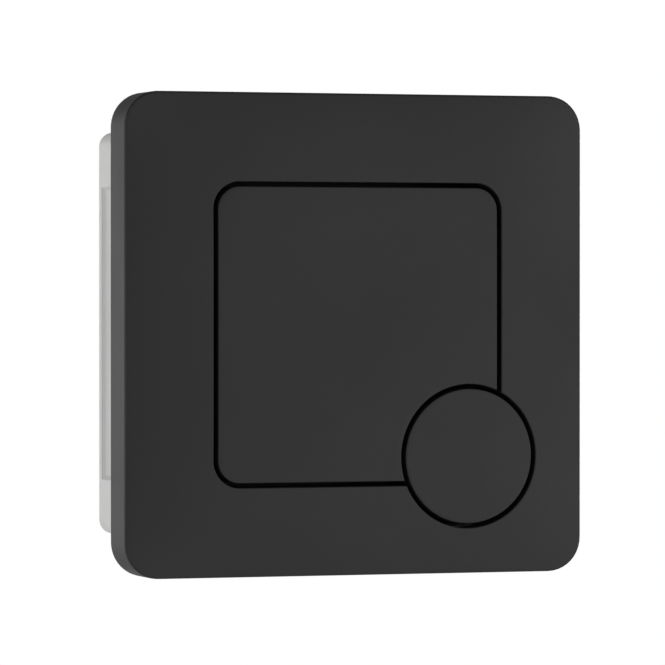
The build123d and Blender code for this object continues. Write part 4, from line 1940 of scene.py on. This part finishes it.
@dataclass
class Studio:
    """A pale floor, a surround and soft lamps. Lengths are in metres.

    To the eye and in a shine, the surround is a white wall round the horizon under a grey ceiling.
    The wall ends at wall_rise and the ceiling begins at ceiling_rise, both as sines of the elevation.
    """

    floor_drop: float = 0.6
    floor_radius: float = 3.2
    floor_plain: float = 1.3
    floor_white: float = 0.4
    floor_points: int = 96
    floor_colour: str = "#f4f4f3"
    floor_roughness: float = 0.9
    wall_rise: float = 0.09
    ceiling_rise: float = 0.24
    ceiling: float = 0.3
    surround: float = 0.38
    lamps: Sequence[Lamp] = (
        Lamp("right_softbox", azimuth=36, elevation=0, distance=1.0, width=0.4, height=0.9, watts=4.6),
        Lamp("left_softbox", azimuth=-86, elevation=0, distance=1.1, width=0.6, height=0.9, watts=5.2),
        Lamp("left_rim", azimuth=-150, elevation=0, distance=1.1, width=0.5, height=0.4, watts=0.9),
        Lamp("rear_fill", azimuth=138, elevation=8, distance=1.2, width=0.6, height=0.6, watts=6.0),
    )

    @staticmethod
    def seen(tree: bpy.types.NodeTree) -> bpy.types.NodeSocket:
        """Tells rays that are seen, straight, in a shine or through a piece, from those that only light.

        Args:
            tree: The tree that needs it.

        Returns:
            1 for a seen ray, else 0.
        """
        path = add_node(tree, "ShaderNodeLightPath")
        either = path.outputs["Is Camera Ray"]
        for kind in ("Is Glossy Ray", "Is Transmission Ray"):
            either = add_node(
                tree, "ShaderNodeMath", {0: either, 1: path.outputs[kind]}, operation="MAXIMUM"
            ).outputs[0]
        return either

    def floor(self) -> None:
        """Lays the floor: a disc of matt board that seen rays find paler, and all white at its rim."""
        mesh = bpy.data.meshes.new("floor")
        rim = arc((0, 0), self.floor_radius, 0, 2 * pi, self.floor_points)
        mesh.from_pydata([(x, y, -self.floor_drop) for x, y in rim], [], [tuple(range(len(rim)))])
        material = bpy.data.materials.new("matt_white_board")
        material.use_nodes = True
        tree = material.node_tree
        tree.nodes.clear()
        board = add_node(
            tree,
            "ShaderNodeBsdfPrincipled",
            {"Base Color": linear(self.floor_colour), "Roughness": self.floor_roughness},
        )
        place = add_node(tree, "ShaderNodeTexCoord").outputs["Object"]
        flat = add_node(tree, "ShaderNodeVectorMath", {0: place, 1: (1.0, 1.0, 0.0)}, operation="MULTIPLY")
        reach = add_node(tree, "ShaderNodeVectorMath", {0: flat.outputs["Vector"]}, operation="LENGTH")
        fade = add_node(
            tree,
            "ShaderNodeMapRange",
            {
                "Value": reach.outputs["Value"],
                "From Min": self.floor_plain,
                "From Max": self.floor_radius,
                "To Min": self.floor_white,
            },
            interpolation_type="SMOOTHSTEP",
        )
        share = add_node(
            tree, "ShaderNodeMath", {0: fade.outputs["Result"], 1: self.seen(tree)}, operation="MULTIPLY"
        )
        white = add_node(tree, "ShaderNodeEmission", {"Color": linear(WHITE), "Strength": 1.0})
        mix = add_node(
            tree,
            "ShaderNodeMixShader",
            {0: share.outputs[0], 1: board.outputs["BSDF"], 2: white.outputs["Emission"]},
        )
        add_node(tree, "ShaderNodeOutputMaterial", {"Surface": mix.outputs["Shader"]})
        mesh.materials.append(material)
        place_object(mesh, "floor")

    def world(self) -> None:
        """Makes the surround: a white wall and a grey ceiling to seen rays, and a plain grey as light."""
        world = bpy.data.worlds.new("white_surround")
        bpy.context.scene.world = world
        world.use_nodes = True
        tree = world.node_tree
        tree.nodes.clear()
        light = add_node(
            tree, "ShaderNodeBackground", {"Color": linear(WHITE), "Strength": self.surround}
        )
        way = add_node(tree, "ShaderNodeTexCoord").outputs["Generated"]
        rise = add_node(tree, "ShaderNodeSeparateXYZ", {0: way}).outputs["Z"]
        wall = add_node(
            tree,
            "ShaderNodeMapRange",
            {
                "Value": rise,
                "From Min": self.wall_rise,
                "From Max": self.ceiling_rise,
                "To Min": 1.0,
                "To Max": self.ceiling,
            },
            interpolation_type="SMOOTHSTEP",
        )
        white = add_node(
            tree, "ShaderNodeBackground", {"Color": linear(WHITE), "Strength": wall.outputs["Result"]}
        )
        mix = add_node(
            tree,
            "ShaderNodeMixShader",
            {0: self.seen(tree), 1: light.outputs["Background"], 2: white.outputs["Background"]},
        )
        add_node(tree, "ShaderNodeOutputWorld", {"Surface": mix.outputs["Shader"]})

    def build(self) -> None:
        """Sets up the studio."""
        bpy.context.scene.view_settings.view_transform = "Standard"
        self.floor()
        self.world()
        for lamp in self.lamps:
            lamp.build()


@dataclass
class PhotoCamera:
    """The camera of the photograph, for a square picture."""

    azimuth: float = -18.748
    elevation: float = 0.543
    distance: float = 0.8546
    lens: float = 256.65
    sensor: float = 36.0
    shift_x: float = -0.01153
    shift_y: float = 0.00221

    def build(self) -> None:
        """Sets up the camera."""
        data = bpy.data.cameras.new("photo_camera")
        data.lens = self.lens
        data.sensor_width = self.sensor
        data.shift_x = self.shift_x
        data.shift_y = self.shift_y
        camera = bpy.data.objects.new("photo_camera", data)
        camera.location = towards(self.azimuth, self.elevation) * self.distance
        camera.rotation_euler = camera.location.to_track_quat("Z", "Y").to_euler()
        bpy.context.scene.collection.objects.link(camera)
        bpy.context.scene.camera = camera


def main() -> None:
    """Builds the camera, the studio and the part."""
    logging.basicConfig(level=logging.INFO, format="%(message)s")
    plate = NodeBox.of("face_plate")
    square = NodeBox.of("full_flush_button")
    disc = NodeBox.of("half_flush_button")
    full_bellows = NodeBox.of("full_bellows")
    half_bellows = NodeBox.of("half_bellows")
    spring_names = [f"full_spring_{corner}" for corner in ("upper_left", "upper_right", "lower_left")]
    post_spots = [NodeBox.of(name).spot for name in spring_names]
    round_hole_r = disc.half_width + BUTTON_GAP
    screws = CarrierScrews(NodeBox.of("carrier_screws"))
    crown = Crown(plate.half_width, -square.low.y - CROWN_RISE, CROWN_RISE)
    PhotoCamera().build()
    Studio().build()
    FacePlate(crown, square.half_width + BUTTON_GAP, disc.spot, round_hole_r).build()
    SquareButton(
        crown,
        "full_flush_button",
        Body.FULL_BUTTON,
        square,
        NodeBox.of("full_post_clips"),
        bite_spot=disc.spot,
        bite_r=round_hole_r,
        post_spots=post_spots,
        pusher_spot=full_bellows.spot,
        pusher_end=full_bellows.low.y,
    ).build()
    RoundButton(crown, "half_flush_button", Body.HALF_BUTTON, disc, NodeBox.of("half_plunger_clip")).build()
    WallBox(
        NodeBox.of("housing"),
        NodeBox.of("flange_gasket"),
        floor=full_bellows.high.y,
        bellows_spots=[full_bellows.spot, half_bellows.spot],
        pilot_spots=screws.spots,
    ).build()
    sleeves = [(spot, SquareButton.post_size) for spot in post_spots]
    sleeves.append((disc.spot, RoundButton.plunger_size))
    Carrier(NodeBox.of("button_carrier"), sleeves, full_bellows.spot, screws.spots).build()
    screws.build()
    AirLine("full", Press.FULL, folds=4).build()
    AirLine("half", Press.HALF, folds=3).build()
    for name in spring_names:
        ReturnSpring(name, Press.FULL).build()
    ReturnSpring("half_spring", Press.HALF).build()
    ForkClips("full_post_clips", Body.FULL_BUTTON).build()
    ForkClips("half_plunger_clip", Body.HALF_BUTTON).build()


if __name__ == "__main__":
    main()
